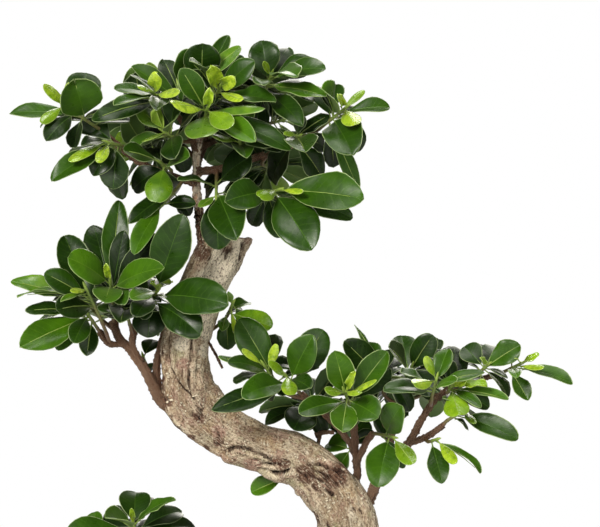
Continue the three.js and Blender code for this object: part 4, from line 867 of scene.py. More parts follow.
# Leafy shoots: where each stem starts, its base and tip, and its leaves. A listed leaf is its tip's
# place, width, lean back from the front, age (0 new, 1 old) and, on a few, a turn about itself.
shoots = {
    "crownWest": {"on": ["crownLeft", 1], "base": [102, 131, -31], "tip": [64, 105, -60], "leaves": [
        [67, 121, -22, 20, 40, 0.9], [78, 82, -96, 44, 74, 0.55, 0, 0.16], [12, 115, -42, 20, 50, 0.65],
        [88, 74, -30, 36, 66, 0.8], [50, 143, -84, 24, 60, 0.85], [73, 137, -16, 22, 20, 0.95],
        [47, 88, -78, 14, 60, 0.05], [67, 82, -74, 12, 70, 0], [45, 125, -84, 12, 60, 0.1]] },
    "crownWestLow": {"on": ["crownLeft", 0.7], "base": [126, 148, -34], "tip": [108, 143, -58],
        "leaves": [
        [115, 190, -58, 30, 62, 0.95], [93, 178, -50, 26, 60, 0.9], [55, 182, -76, 24, 55, 0.6],
        [71, 153, -40, 16, 5, 0.8], [85, 147, -84, 16, 35, 0.9], [101, 164, -88, 12, 70, 0.1],
        [76, 149, -92, 14, 45, 0.05]] },
    "crownUpWest": {"on": ["crownUpLeft", 1], "base": [173, 107, -24], "tip": [152, 93, -62],
        "leaves": [
        [95, 122, -74, 24, 50, 0.85], [160, 113, -106, 22, 50, 0.85], [117, 108, -100, 18, 40, 0.5],
        [131, 76, -30, 14, 10, 0.8], [120, 87, -80, 20, 45, 0.55], [180, 97, -100, 16, 60, 0.05],
        [159, 77, -84, 14, 70, 0], [144, 83, -84, 7, 60, 0.05]] },
    "crownPeakWest": {"on": ["crownUpLeft", 0.55], "base": [186, 116, 2], "tip": [178, 84, 4],
        "leaves": [
        [132, 67, -14, 22, 55, 0.55], [163, 56, 24, 24, 60, 0.8], [150, 84, 44, 24, 30, 0.9],
        [188, 50, -26, 24, 70, 0.6, 35]] },
    "crownHeart": {"on": ["crown", 0.88], "base": [204, 124, -30], "tip": [209, 110, -84], "leaves": [
        [196, 139, -66, 24, 55, 0.85], [291, 152, -88, 26, 60, 0.75], [256, 144, -118, 22, 60, 0.35],
        [203, 140, -128, 36, 55, 0.3], [265, 112, -112, 18, 45, 0.3], [183, 72, -96, 24, 72, 0.5],
        [175, 107, -122, 20, 55, 0.1], [232, 130, -124, 22, 70, 0.15], [212, 92, -106, 10, 80, 0]] },
    "crownCurl": {"on": ["crown", 0.96], "base": [212, 106, -16], "tip": [221, 88, -58], "leaves": [
        [276, 105, -78, 24, 50, 0.6], [255, 63, -58, 26, 65, 0.65], [191, 64, -78, 24, 60, 0.6, 60],
        [243, 103, -96, 12, 60, 0.05], [210, 65, -82, 16, 75, 0], [229, 73, -84, 14, 75, 0.02]] },
    "crownPeak": {"on": ["crown", 1], "base": [202, 106, 2], "tip": [202, 78, -4], "leaves": [
        [243, 56, 24, 24, 50, 0.85], [228, 39, 40, 18, 60, 0.6], [203, 42, -22, 38, 85, 0.8],
        [237, 51, -30, 18, 60, 0.3]] },
    "crownTopEast": {"on": ["crownTopRight", 1], "base": [262, 100, -12], "tip": [272, 75, -38],
        "leaves": [
        [303, 128, -82, 24, 78, 0.85], [241, 86, -86, 22, 4, 0.7], [326, 99, -92, 20, 55, 0.4],
        [288, 48, 10, 24, 60, 0.8], [262, 42, -24, 32, 80, 0.75], [314, 62, -34, 28, 60, 0.7],
        [329, 75, -60, 24, 60, 0.6], [298, 80, -104, 28, 45, 0.45], [264, 64, -60, 7, 80, 0.05]] },
    "crownEast": {"on": ["crownRight", 1], "base": [319, 130, -40], "tip": [346, 109, -66], "leaves": [
        [358, 190, -34, 16, 40, 0.6, 30], [325, 88, -26, 36, 66, 0.7], [352, 157, -104, 40, 74, 0.7],
        [306, 98, -92, 34, 55, 0.4], [360, 152, -46, 28, 60, 0.8], [389, 109, -58, 20, 50, 0.5],
        [364, 92, -50, 8, 60, 0.2], [338, 97, -92, 8, 70, 0], [354, 127, -104, 20, 60, 0.05]] },
    "crownEastMid": {"on": ["crownRight", 0.78], "base": [291, 142, -40], "tip": [300, 137, -62],
        "leaves": [
        [322, 178, -30, 28, 60, 0.9], [250, 133, -86, 26, 60, 0.7], [306, 160, -104, 34, 55, 0.75],
        [272, 182, -6, 28, 62, 0.95],
        [284, 136, -84, 7, 60, 0.1]] },
    "crownLowEast": {"on": ["crownLowRight", 1], "base": [260, 196, -42], "tip": [281, 190, -76],
        "leaves": [
        [281, 238, -54, 26, 60, 0.8], [352, 219, -58, 26, 60, 0.7], [226, 203, -96, 32, 72, 0.7],
        [312, 250, -118, 46, 68, 0.6], [362, 200, -116, 44, 66, 0.6], [260, 198, -104, 17, 60, 0.25],
        [303, 193, -108, 8, 60, 0.05]] },
    "crownCentreLow": {"on": ["crownRight", 0.17], "base": [217, 178, -28], "tip": [217, 198, -52],
        "leaves": [
        [252, 158, -58, 36, 62, 1], [179, 181, -62, 18, 30, 0.7], [219, 250, -52, 34, 80, 0.85],
        [238, 240, -90, 38, 80, 0.7], [256, 196, 4, 30, 60, 0.95],
        [203, 213, -66, 12, 40, 0.2]] },
    "crownWestMid": {"on": ["crownLeft", 0.28], "base": [172, 171, -32], "tip": [161, 163, -53],
        "leaves": [
        [134, 190, -26, 28, 55, 0.95], [191, 158, -86, 24, 62, 0.6], [158, 203, -92, 28, 74, 0.25],
        [150, 150, 4, 26, 40, 0.95], [170, 200, 8, 24, 66, 0.95],
        [126, 152, -74, 26, 40, 0.7]] },
    "crownHanging": {"on": ["crownLeft", 0.14], "base": [180, 186, -26], "tip": [163, 206, -40],
        "leaves": [
        [131, 224, -62, 20, 60, 0.8], [186, 224, -8, 22, 40, 0.9], [128, 241, -88, 22, 45, 0.55]] },
    "crownInnerWest": {"on": ["crownUpLeft", 0.2], "base": [182, 142, -34], "tip": [164, 132, -50],
        "spiral": [9, 54, 40] },
    "crownInnerEast": {"on": ["crownRight", 0.42], "base": [243, 156, -36], "tip": [240, 140, -52],
        "spiral": [9, 56, 100] },
    "crownInnerLow": {"on": ["crownRight", 0.55], "base": [262, 164, -8], "tip": [272, 168, 16],
        "spiral": [9, 60, 10] },
    "crownBackWest": {"on": ["crownBackLeft", 1], "base": [148, 122, 66], "tip": [136, 112, 84],
        "spiral": [8, 64, 20] },
    "crownBackWestTop": {"on": ["crownBackLeft", 0.6], "base": [164, 108, 44], "tip": [162, 88, 56],
        "spiral": [7, 54, 80] },
    "crownBackWestLow": {"on": ["crownBackLeft", 0.5], "base": [160, 150, 36], "tip": [142, 156, 40],
        "spiral": [8, 60, 140] },
    "crownBackTop": {"on": ["crownBack", 0.7], "base": [214, 110, 66], "tip": [218, 92, 70],
        "spiral": [8, 60, 10] },
    "crownBackEnd": {"on": ["crownBack", 1], "base": [207, 131, 92], "tip": [210, 126, 112],
        "spiral": [8, 64, 60] },
    "crownBackEast": {"on": ["crownBackRight", 1], "base": [265, 123, 73], "tip": [284, 118, 86],
        "spiral": [8, 64, 110] },
    "crownBackEastTop": {"on": ["crownBackRight", 0.7], "base": [258, 108, 44], "tip": [266, 86, 50],
        "spiral": [7, 54, 30] },
    "crownBackEastLow": {"on": ["crownBackRight", 0.55], "base": [246, 146, 50], "tip": [254, 154, 66],
        "spiral": [8, 60, 75] },
    "leftHeart": {"on": ["left", 0.98], "base": [114, 312, -22], "tip": [112, 279, -58], "leaves": [
        [94, 225, -8, 32, 66, 0.85], [160, 235, -72, 26, 68, 0.9], [125, 232, -54, 20, 20, 0.85, 50],
        [131, 201, -46, 26, 60, 0.6], [127, 304, -96, 22, 45, 0.5], [167, 268, -104, 30, 66, 0.5],
        [109, 302, -110, 30, 52, 0.4], [72, 258, -100, 34, 66, 0.4], [108, 264, -74, 7, 80, 0]] },
    "leftWest": {"on": ["leftTwig", 0.45], "base": [104, 322, -50], "tip": [88, 287, -66], "leaves": [
        [66, 236, -30, 34, 78, 0.8], [61, 309, -104, 28, 62, 0.85], [14, 281, -58, 22, 55, 0.4],
        [48, 273, -78, 26, 64, 0.7], [25, 298, -92, 14, 12, 0.5], [65, 301, -102, 9, 40, 0.4],
        [75, 291, -98, 9, 60, 0.05]] },
    "leftLow": {"on": ["leftTwig", 1], "base": [99, 328, -36], "tip": [88, 311, -44], "leaves": [
        [82, 346, -14, 14, 60, 0.7], [89, 355, -52, 20, 62, 0.8], [59, 349, -48, 20, 60, 0.6],
        [24, 346, -84, 34, 66, 0.35], [77, 342, -76, 22, 74, 0.65], [27, 316, -62, 18, 45, 0.85]] },
    "leftMid": {"on": ["leftRight", 0.5], "base": [131, 324, -36], "tip": [127, 306, -52], "leaves": [
        [101, 308, -78, 16, 55, 0.8], [122, 333, -80, 30, 66, 0.85]] },
    "leftEast": {"on": ["leftRight", 1], "base": [147, 308, -34], "tip": [161, 288, -64], "leaves": [
        [150, 337, -58, 34, 66, 0.95], [202, 334, -84, 34, 66, 0.85], [130, 282, -56, 20, 45, 0.8],
        [139, 316, -100, 24, 60, 0.9], [230, 304, -112, 42, 70, 0.7], [185, 215, -84, 40, 82, 0.7],
        [134, 298, -104, 18, 55, 0.45], [153, 283, -84, 9, 60, 0.02]] },
    "leftSpur": {"on": ["left", 0.5], "base": [146, 366, -2], "tip": [143, 356, 8], "leaves": [
        [151, 372, 12, 14, 75, 0.9], [153, 340, 30, 18, 60, 0.9]] },
    "leftBackWest": {"on": ["leftBack", 0.5], "base": [98, 316, 16], "tip": [84, 300, 28],
        "spiral": [7, 54, 50] },
    "leftBackTop": {"on": ["leftBack", 1], "base": [112, 303, 38], "tip": [108, 280, 46],
        "spiral": [7, 54, 0] },
    "leftBackEast": {"on": ["leftBack", 0.75], "base": [132, 310, 38], "tip": [148, 292, 40],
        "spiral": [7, 54, 120] },
    "middle": {"on": ["trunk", 0.82], "base": [222, 322, 24], "tip": [233, 303, 10], "leaves": [
        [222, 331, -4, 12, 70, 0.5], [272, 327, -14, 24, 62, 0.35],
        [249, 303, 34, 16, 45, 0.5], [231, 342, -6, 10, 70, 0.1, 60], [227, 291, 4, 7, 60, 0.3]] },
    "rightFarWest": {"on": ["rightWest", 0.86], "base": [283, 390, -42], "tip": [264, 363, -64],
        "leaves": [
        [240, 318, -56, 34, 72, 0.65], [220, 355, -82, 14, 45, 0.5], [229, 361, -92, 20, 60, 0.8],
        [277, 343, -78, 10, 70, 0.1], [243, 348, -86, 8, 60, 0.05]] },
    "rightWest": {"on": ["rightWest", 1], "base": [299, 391, -37], "tip": [285, 373, -62], "leaves": [
        [213, 408, -72, 24, 62, 0.85], [323, 329, -48, 34, 76, 0.75], [243, 394, -104, 26, 66, 0.5],
        [313, 334, -86, 32, 72, 0.55], [310, 386, -98, 22, 66, 0.75], [269, 360, -84, 10, 70, 0.1],
        [292, 398, -106, 16, 72, 0.12]] },
    "rightDark": {"on": ["rightWest", 0.62], "base": [314, 411, -4], "tip": [311, 401, 6], "leaves": [
        [265, 424, 8, 22, 40, 0.95], [300, 431, -34, 34, 66, 0.95], [307, 378, 40, 20, 60, 0.8],
        [328, 408, 50, 24, 40, 0.9]] },
    "rightFront": {"on": ["rightInner", 1], "base": [352, 410, -55], "tip": [343, 388, -86], "leaves": [
        [389, 367, -60, 28, 66, 0.8], [386, 350, -84, 26, 72, 0.6], [299, 410, -112, 22, 60, 0.5],
        [377, 414, -112, 32, 76, 0.5], [341, 428, -122, 28, 76, 0.4], [334, 349, -104, 28, 78, 0.35],
        [375, 378, -106, 8, 60, 0.05], [354, 369, -102, 8, 70, 0.02], [325, 388, -114, 12, 60, 0.05],
        [359, 391, -116, 11, 60, 0.05]] },
    "rightBackWest": {"on": ["rightBack", 0.8], "base": [384, 394, 34], "tip": [384, 370, 22],
        "leaves": [
        [344, 341, -8, 30, 62, 0.9], [355, 325, 32, 12, 15, 0.6], [373, 335, 50, 20, 50, 0.7],
        [350, 380, 40, 26, 40, 0.9]] },
    "rightCrest": {"on": ["rightBack", 1], "base": [405, 386, 36], "tip": [412, 366, 18], "leaves": [
        [440, 340, 70, 26, 40, 0.85], [388, 346, -30, 32, 60, 0.8], [402, 336, 46, 28, 60, 0.75],
        [433, 335, 10, 26, 62, 0.85], [461, 355, 44, 20, 40, 0.8], [423, 398, -6, 30, 50, 0.9]] },
    "rightHeart": {"on": ["right", 0.92], "base": [430, 398, -64], "tip": [435, 376, -74], "leaves": [
        [382, 388, -96, 26, 40, 0.75], [399, 370, -94, 22, 30, 0.6], [453, 379, -104, 18, 60, 0.5],
        [482, 371, -72, 20, 25, 0.55], [447, 348, -58, 20, 50, 0.55], [411, 381, -118, 15, 60, 0.1],
        [423, 355, -92, 10, 60, 0.15]] },
    "rightMid": {"on": ["rightEast", 0.2], "base": [446, 391, -58], "tip": [450, 384, -66], "leaves": [
        [487, 406, -58, 22, 60, 0.85], [505, 403, -62, 14, 40, 0.45], [478, 405, -92, 12, 50, 0.5],
        [456, 412, -106, 26, 70, 0.1], [463, 370, -80, 10, 70, 0.05], [479, 377, -86, 8, 60, 0.02]] },
    "rightEast": {"on": ["rightEast", 0.62], "base": [479, 371, -42], "tip": [486, 364, -50],
        "leaves": [
        [518, 344, -54, 26, 62, 0.6], [463, 346, -34, 24, 76, 0.8], [496, 346, -10, 24, 50, 0.8],
        [478, 357, -66, 7, 70, 0.05]] },
    "rightTip": {"on": ["rightEast", 1], "base": [501, 372, -28], "tip": [521, 362, -36], "leaves": [
        [526, 399, -50, 18, 55, 0.6], [514, 376, -72, 14, 60, 0.4], [570, 383, -46, 18, 40, 0.5],
        [541, 366, -64, 8, 50, 0.05], [537, 353, -40, 8, 60, 0.1], [513, 357, -58, 9, 60, 0.05]] },
    "rightHang": {"on": ["rightHang", 1], "base": [375, 432, -50], "tip": [393, 435, -72], "leaves": [
        [403, 466, -56, 14, 70, 0.8], [400, 403, -100, 32, 66, 0.6], [376, 483, -96, 34, 76, 0.6],
        [411, 460, -100, 18, 66, 0.1]] },
    "rightLowEast": {"on": ["rightLow", 1], "base": [446, 419, -49], "tip": [462, 409, -58], "leaves": [
        [467, 428, -36, 12, 40, 0.8], [515, 437, -72, 24, 56, 0.7], [441, 396, -84, 12, 40, 0.6],
        [472, 421, -84, 9, 50, 0.2]] },
    "rightUnder": {"on": ["rightLow", 0.5], "base": [427, 440, -46], "tip": [436, 437, -60], "leaves": [
        [440, 480, -84, 22, 70, 0.65], [479, 471, -54, 12, 30, 0.6], [453, 460, -94, 12, 66, 0.1]] },
    "rightBehind": {"on": ["rightInner", 0.42], "base": [352, 452, 14], "tip": [349, 444, 24],
        "leaves": [
        [328, 444, 30, 26, 62, 0.4], [366, 420, 44, 24, 60, 0.85], [330, 418, 60, 24, 50, 0.9]] },
    "rightBackEast": {"on": ["rightBack", 0.9], "base": [418, 398, 52], "tip": [432, 386, 62],
        "spiral": [8, 56, 30] },
    "rightBackLow": {"on": ["rightBack", 0.55], "base": [378, 420, 46], "tip": [366, 400, 50],
        "spiral": [8, 56, 90] },
    "under": {"on": ["trunk", 0.58], "base": [289, 478, 26], "tip": [283, 478, 33], "leaves": [
        [251, 493, 24, 20, 62, 0.35], [268, 452, 60, 20, 60, 0.5]] },
    "lowHeart": {"on": ["low", 1], "base": [137, 541, -20], "tip": [134, 520, -28], "leaves": [
        [196, 529, 24, 24, 50, 0.8], [68, 529, -48, 24, 45, 0.6], [182, 512, 4, 26, 55, 0.9],
        [106, 512, -8, 26, 60, 0.85], [108, 514, -76, 26, 55, 0.45], [136, 492, 2, 32, 70, 0.8],
        [177, 497, -58, 16, 45, 0.55], [133, 506, -48, 6, 80, 0.05]] },
    "lowWest": {"on": ["lowLeft", 1], "base": [107, 560, -18], "tip": [92, 548, -26],
        "spiral": [7, 56, 60] },
    "lowEast": {"on": ["lowRight", 1], "base": [179, 563, 6], "tip": [182, 545, 4],
        "spiral": [7, 56, 0] },
    "lowFront": {"on": ["low", 0.72], "base": [156, 580, -44], "tip": [150, 568, -64],
        "spiral": [7, 54, 100] },
    "lowBack": {"on": ["low", 0.8], "base": [148, 574, 16], "tip": [140, 562, 36],
        "spiral": [7, 56, 45] },
}
leaf = {
    "stalk": 0.13, "widest": 0.57, "fullness": 0.5, "rootSink": 0.6, "firstRoot": 0.35, "lastRoot": 0.93,
    "fold": [0.5, 0.16], "arch": [0.03, 0.08],  # young and old
    "thickness": 0.45, "stalkRadius": [1.05, 0.75, 0.3], "leastWidth": 0.35, "groove": 0.25,
    "wave": 0.026, "curl": 0.18, "ruffle": 0.055, "blister": 0.05, "lobed": 0.26,
    # How far the blades differ.
    "foldSpread": [0.5, 1.9], "widestSpread": 0.06, "blunt": [0.36, 0.58], "bow": [0.7, 1.8], "twist": 0.24,
    "waves": [1.2, 2.6], "waveSpread": [0.3, 1.2], "curlSpread": [-0.4, 1.4], "shadeSpread": 0.08,
    "young": 0.35,  # the age up to which a leaf is glossy
    # A young leaf is ruffled up to the first length and shaped like a spoon from the second, in mm.
    "ruffled": [20, 30], "spoonBlunt": 0.42,
    "newest": 0.03, "curlUp": 0.5,  # the newest leaves curl
    "match": 0.2,  # how near, in mm, a blade's tip is to its packed tip
    "across": [0, 0.07, 0.36, 0.7, 0.93, 1], "rows": 12,
    "hiddenAcross": [0, 0.1, 0.6, 1], "hiddenRows": 7,  # for the leaves behind the others
}
spiral = {"turn": 137.5, "spread": [116, 34], "youngest": 0.5, "width": 0.56, "skyward": 0.9}
# Ways to bend a leaf clear of its neighbours, as lift and swing in degrees, and then to shorten it.
bends = [[0, 0], [7, 0], [-7, 0], [0, 9], [0, -9], [12, 6], [12, -6], [-12, 8], [-12, -8], [0, 18],
         [0, -18], [20, 0], [-20, 0], [22, 14], [22, -14], [-22, 14], [-22, -14]]
shortenings = [1, 0.86, 0.72]
# Inner leaves fill what the imported leaves leave open, and stay within their outline.
# Their ages, near 1, give them the darkest tone: painted shade inside the crown.
inner = {
    "tries": 34, "most": 9, "roots": [0.1, 0.7], "spread": [132, 60], "lengths": [54, 46, 38, 31, 25],
    "width": 0.58, "nearFoliage": 14, "clear": [3.0, 5.0], "barkGap": 3, "age": [0.9, 1.0],
    # Seen from the front, on a grid of cells in mm.
    "cell": 4, "holeReach": 6, "leastFilled": 4, "mostHidden": 0.12,
    # No inner leaf stands in front of these: across from and to, down from and to, and how far back.
    "open": [[188, 206, 128, 190, -10], [404, 446, 424, 470, 80], [336, 402, 440, 500, 80],
             [150, 214, 204, 246, 80]],
    # Places on a blade that are kept clear: how far along it, and how far to its side.
    "samples": [[0.3, 0], [0.5, 0], [0.5, 0.75], [0.5, -0.75], [0.72, 0], [0.72, 0.8], [0.72, -0.8],
                [0.9, 0.45], [0.9, -0.45], [1, 0]],
}
# Leaves tucked in behind the others, by shoot, written as the imported leaves are.
# Most of them are given ages near 1, so the darkest tone paints them as shaded.
tucked = {
    "crownInnerLow": [[204, 188, 8, 28, 40, 0.97], [224, 200, 4, 24, 50, 0.97],
                      [246, 200, 6, 24, 50, 0.97]],
    "crownInnerWest": [[186, 173, -32, 19, 60, 0.97], [172, 168, -28, 18, 60, 0.97]],
    "crownHanging": [[191, 216, -34, 18, 70, 0.95], [197, 204, -46, 16, 60, 0.9]],
    "crownCentreLow": [[206, 196, -20, 18, 60, 0.95], [234, 208, -30, 20, 60, 0.95]],
    "crownEastMid": [[330, 116, -46, 18, 50, 0.9], [322, 158, -40, 20, 60, 0.95]],
    "crownEast": [[334, 168, -34, 20, 60, 0.95]],
    "crownLowEast": [[252, 226, -34, 20, 70, 0.95]],
    "middle": [[228, 350, 14, 22, 66, 0.7], [246, 334, 22, 20, 60, 0.8]],
    "rightDark": [[323, 434, 12, 18, 60, 0.97], [290, 400, 4, 20, 50, 0.97], [306, 430, 14, 20, 60, 0.97]],
    "rightBehind": [[331, 471, 18, 21, 66, 0.42], [377, 438, 26, 18, 60, 0.95]],
    "rightBackLow": [[412, 424, 36, 22, 60, 0.95], [392, 440, 40, 20, 60, 0.95],
                     [340, 412, 44, 22, 60, 0.97]],
    "rightBackWest": [[356, 414, 30, 22, 60, 0.97], [410, 412, 22, 20, 50, 0.97]],
    "rightFarWest": [[268, 398, -36, 18, 60, 0.95], [292, 366, -44, 18, 50, 0.95]],
}
stemLook = {
    "start": 2.1, "end": 1.5, "steps": 10, "sides": 10, "lastSeat": 0.97, "knuckle": 5, "knuckleRise": 0.16,
    # The bud: its length and radius in mm, and the shares of both at each ring.
    "bud": 7.0, "budRadius": 1.35,
    "budRings": [[0.12, 0.95], [0.3, 1.0], [0.55, 0.78], [0.8, 0.4], [0.96, 0.12]],
}

# The way a leaf points in a spiral: its turn about the stem and its angle from it, in degrees.
def spiralWay(stem, turn, spread):
    level = Vector((0, 0, 1)).cross(stem).normalized()
    heading, spread = turned(level, stem, turn), math.radians(spread)
    return heading * math.sin(spread) + stem * math.cos(spread)


def leafWishes(shoot, leaves):
    base, tip = place(shoot["base"]), place(shoot["tip"])
    stem = (tip - base).normalized()
    count = len(leaves) if leaves else shoot["spiral"][0]
    wishes = []
    for index in range(count):
        young = index / max(count - 1, 1)
        root = base.lerp(tip, between(leaf["firstRoot"], leaf["lastRoot"], young))
        if leaves:
            *end, width, lean, age = leaves[index][:6]
            turn, notch = (leaves[index] + [0, 0])[6:8]
            end, lean = place(end), math.radians(lean)
            face = Vector((0, -math.sin(lean), math.cos(lean)))
        else:
            longest, firstTurn = shoot["spiral"][1:]
            way = spiralWay(stem, firstTurn + index * spiral["turn"], between(*spiral["spread"], young))
            length = longest * between(1, spiral["youngest"], young)
            end = tip + way * length * mm
            width, age, turn, notch = spiral["width"] * length, 1 - young, 0, 0
            face = stem + Vector((0, 0, spiral["skyward"]))
        wishes.append({**leafForm(root, end, stem, face, turn, width * mm, age), "notch": notch})
    return wishes

def leafForm(root, end, stem, face, turn, width, age):
    root = root + squareTo(end - root, stem) * leaf["rootSink"] * mm
    along = (end - root).normalized()
    up = turned(squareTo(face, along), along, turn)
    length = (end - root).length
    return {"root": root, "along": along, "up": up, "length": length, "width": width, "age": age}

def bentWays(form):
    side = form["along"].cross(form["up"])
    for share in shortenings:
        for lift, swing in bends:
            along = turned(turned(form["along"], side, lift), form["up"], swing)
            yield {**form, "along": along, "up": squareTo(form["up"], along),
                   "length": form["length"] * share, "width": form["width"] * share}

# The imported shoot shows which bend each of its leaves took: the blade ends in one of its corners.
def standingLeaves(name, shoot):
    corners = finderOf([vertex.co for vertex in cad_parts["shoot_" + name].data.vertices])
    standing = []
    for wish in leafWishes(shoot, shoot.get("leaves")):
        for form in bentWays(wish):
            if corners.find(form["root"] + form["along"] * form["length"])[2] < leaf["match"] * mm:
                standing.append(form)
                break
    return standing

def leafSamples(form):
    side = form["along"].cross(form["up"])
    rise = between(*leaf["arch"], form["age"]) * 4
    return [form["root"] + form["along"] * form["length"] * share + side * form["width"] / 2 * aside
            + form["up"] * form["length"] * rise * share * (1 - share) for share, aside in inner["samples"]]

def finderOf(spots):
    finder = kdtree.KDTree(len(spots))
    for index, spot in enumerate(spots):
        finder.insert(spot, index)
    finder.balance()
    return finder

def hidesOpenPlace(spot):
    across, down = spot.x / mm + datum["across"], datum["down"] - spot.z / mm
    back = spot.y / mm - datum["back"]
    return any(left < across < right and top < down < bottom and back < depth
               for left, right, top, bottom, depth in inner["open"])

def fitsIn(form, packed):
    samples = leafSamples(form)
    return packed.find(samples[-1])[2] < inner["nearFoliage"] * mm and not any(map(hidesOpenPlace, samples))

def hasRoom(form, crowd, limbs):
    for (share, _), spot in zip(inner["samples"], leafSamples(form)):
        least = between(*inner["clear"], share) * mm
        if crowd["finder"].find(spot)[2] < least:
            return False
        if any((spot - other).length < least for other in crowd["fresh"]):
            return False
        _, index, apart = limbs["finder"].find(spot)
        if apart < limbs["sizes"][index] + inner["barkGap"] * mm:
            return False
    return True

# The cells that a blade covers as seen from the front, each with how far back it is.
def bladeCells(form):
    side = form["along"].cross(form["up"])
    cells = {}
    for step in range(3, 17):
        share = step / 16
        half = form["width"] / 2 * halfWidthShare(share, leaf["widest"], leaf["fullness"])
        for aside in (-0.9, -0.45, 0, 0.45, 0.9):
            spot = form["root"] + form["along"] * form["length"] * share + side * half * aside
            cells[round(spot.x / inner["cell"] / mm), round(spot.z / inner["cell"] / mm)] = spot.y
    return cells

def joinCrowd(form, crowd, cover):
    crowd["fresh"].extend(leafSamples(form))
    coverCells(cover, form)

def settleCrowd(crowd):
    crowd["spots"].extend(crowd["fresh"])
    crowd["fresh"].clear()
    crowd["finder"] = finderOf(crowd["spots"])

def coverCells(cover, form):
    for cell, depth in bladeCells(form).items():
        cover[cell] = min(depth, cover.get(cell, depth))

# How many cells a leaf would fill in the holes between others, or -1 if it would hide them or stick out.
def cellsFilled(form, cover):
    cells = bladeCells(form)
    hidden = sum(depth < cover.get(cell, -1) for cell, depth in cells.items())
    filled = outside = 0
    for across, up in cells:
        if (across, up) not in cover:
            steps = range(1, inner["holeReach"])
            enclosed = sum(any((across + right * step, up + rise * step) in cover for step in steps)
                           for right, rise in ((-1, 0), (1, 0), (0, -1), (0, 1))) >= 3
            filled += enclosed
            outside += not enclosed
    most = inner["mostHidden"] * len(cells)
    return -1 if hidden > most or outside > most else filled

def tuckedLeaves(name, crowd, cover, limbs):
    added = []
    for wish in leafWishes(shoots[name], tucked[name]) if name in tucked else []:
        for form in bentWays(wish):
            if hasRoom(form, crowd, limbs):
                added.append({**form, "hidden": True})
                joinCrowd(form, crowd, cover)
                break
    return added

def innerLeaves(shoot, packed, crowd, cover, limbs, dice):
    base, tip = place(shoot["base"]), place(shoot["tip"])
    stem = (tip - base).normalized()
    face = stem + Vector((0, 0, spiral["skyward"]))
    choices = []
    for index in range(inner["tries"]):
        share = index / (inner["tries"] - 1)
        root = base.lerp(tip, between(*inner["roots"], share))
        aim = spiralWay(stem, index * spiral["turn"] + 60, between(*inner["spread"], share))
        for length in inner["lengths"]:
            age, width = dice.uniform(*inner["age"]), inner["width"] * length * mm
            form = leafForm(root, root + aim * length * mm, stem, face, 0, width, age)
            if fitsIn(form, packed) and hasRoom(form, crowd, limbs):
                choices.append((cellsFilled(form, cover), form))
    choices.sort(key=lambda choice: -choice[0])
    added = []
    for filled, form in choices:
        if len(added) < inner["most"] and filled >= 0 and hasRoom(form, crowd, limbs):
            if filled < inner["leastFilled"] or cellsFilled(form, cover) >= inner["leastFilled"]:
                added.append({**form, "hidden": True})
                joinCrowd(form, crowd, cover)
    return added

def halfWidthShare(along, widest, blunt):
    share = min(max((along - leaf["stalk"]) / (1 - leaf["stalk"]), 0), 1)
    peak = math.log(0.5) / math.log(widest)
    fullness = blunt if share > widest else leaf["fullness"] * 1.45
    return max(math.sin(math.pi * share ** peak), 0) ** fullness

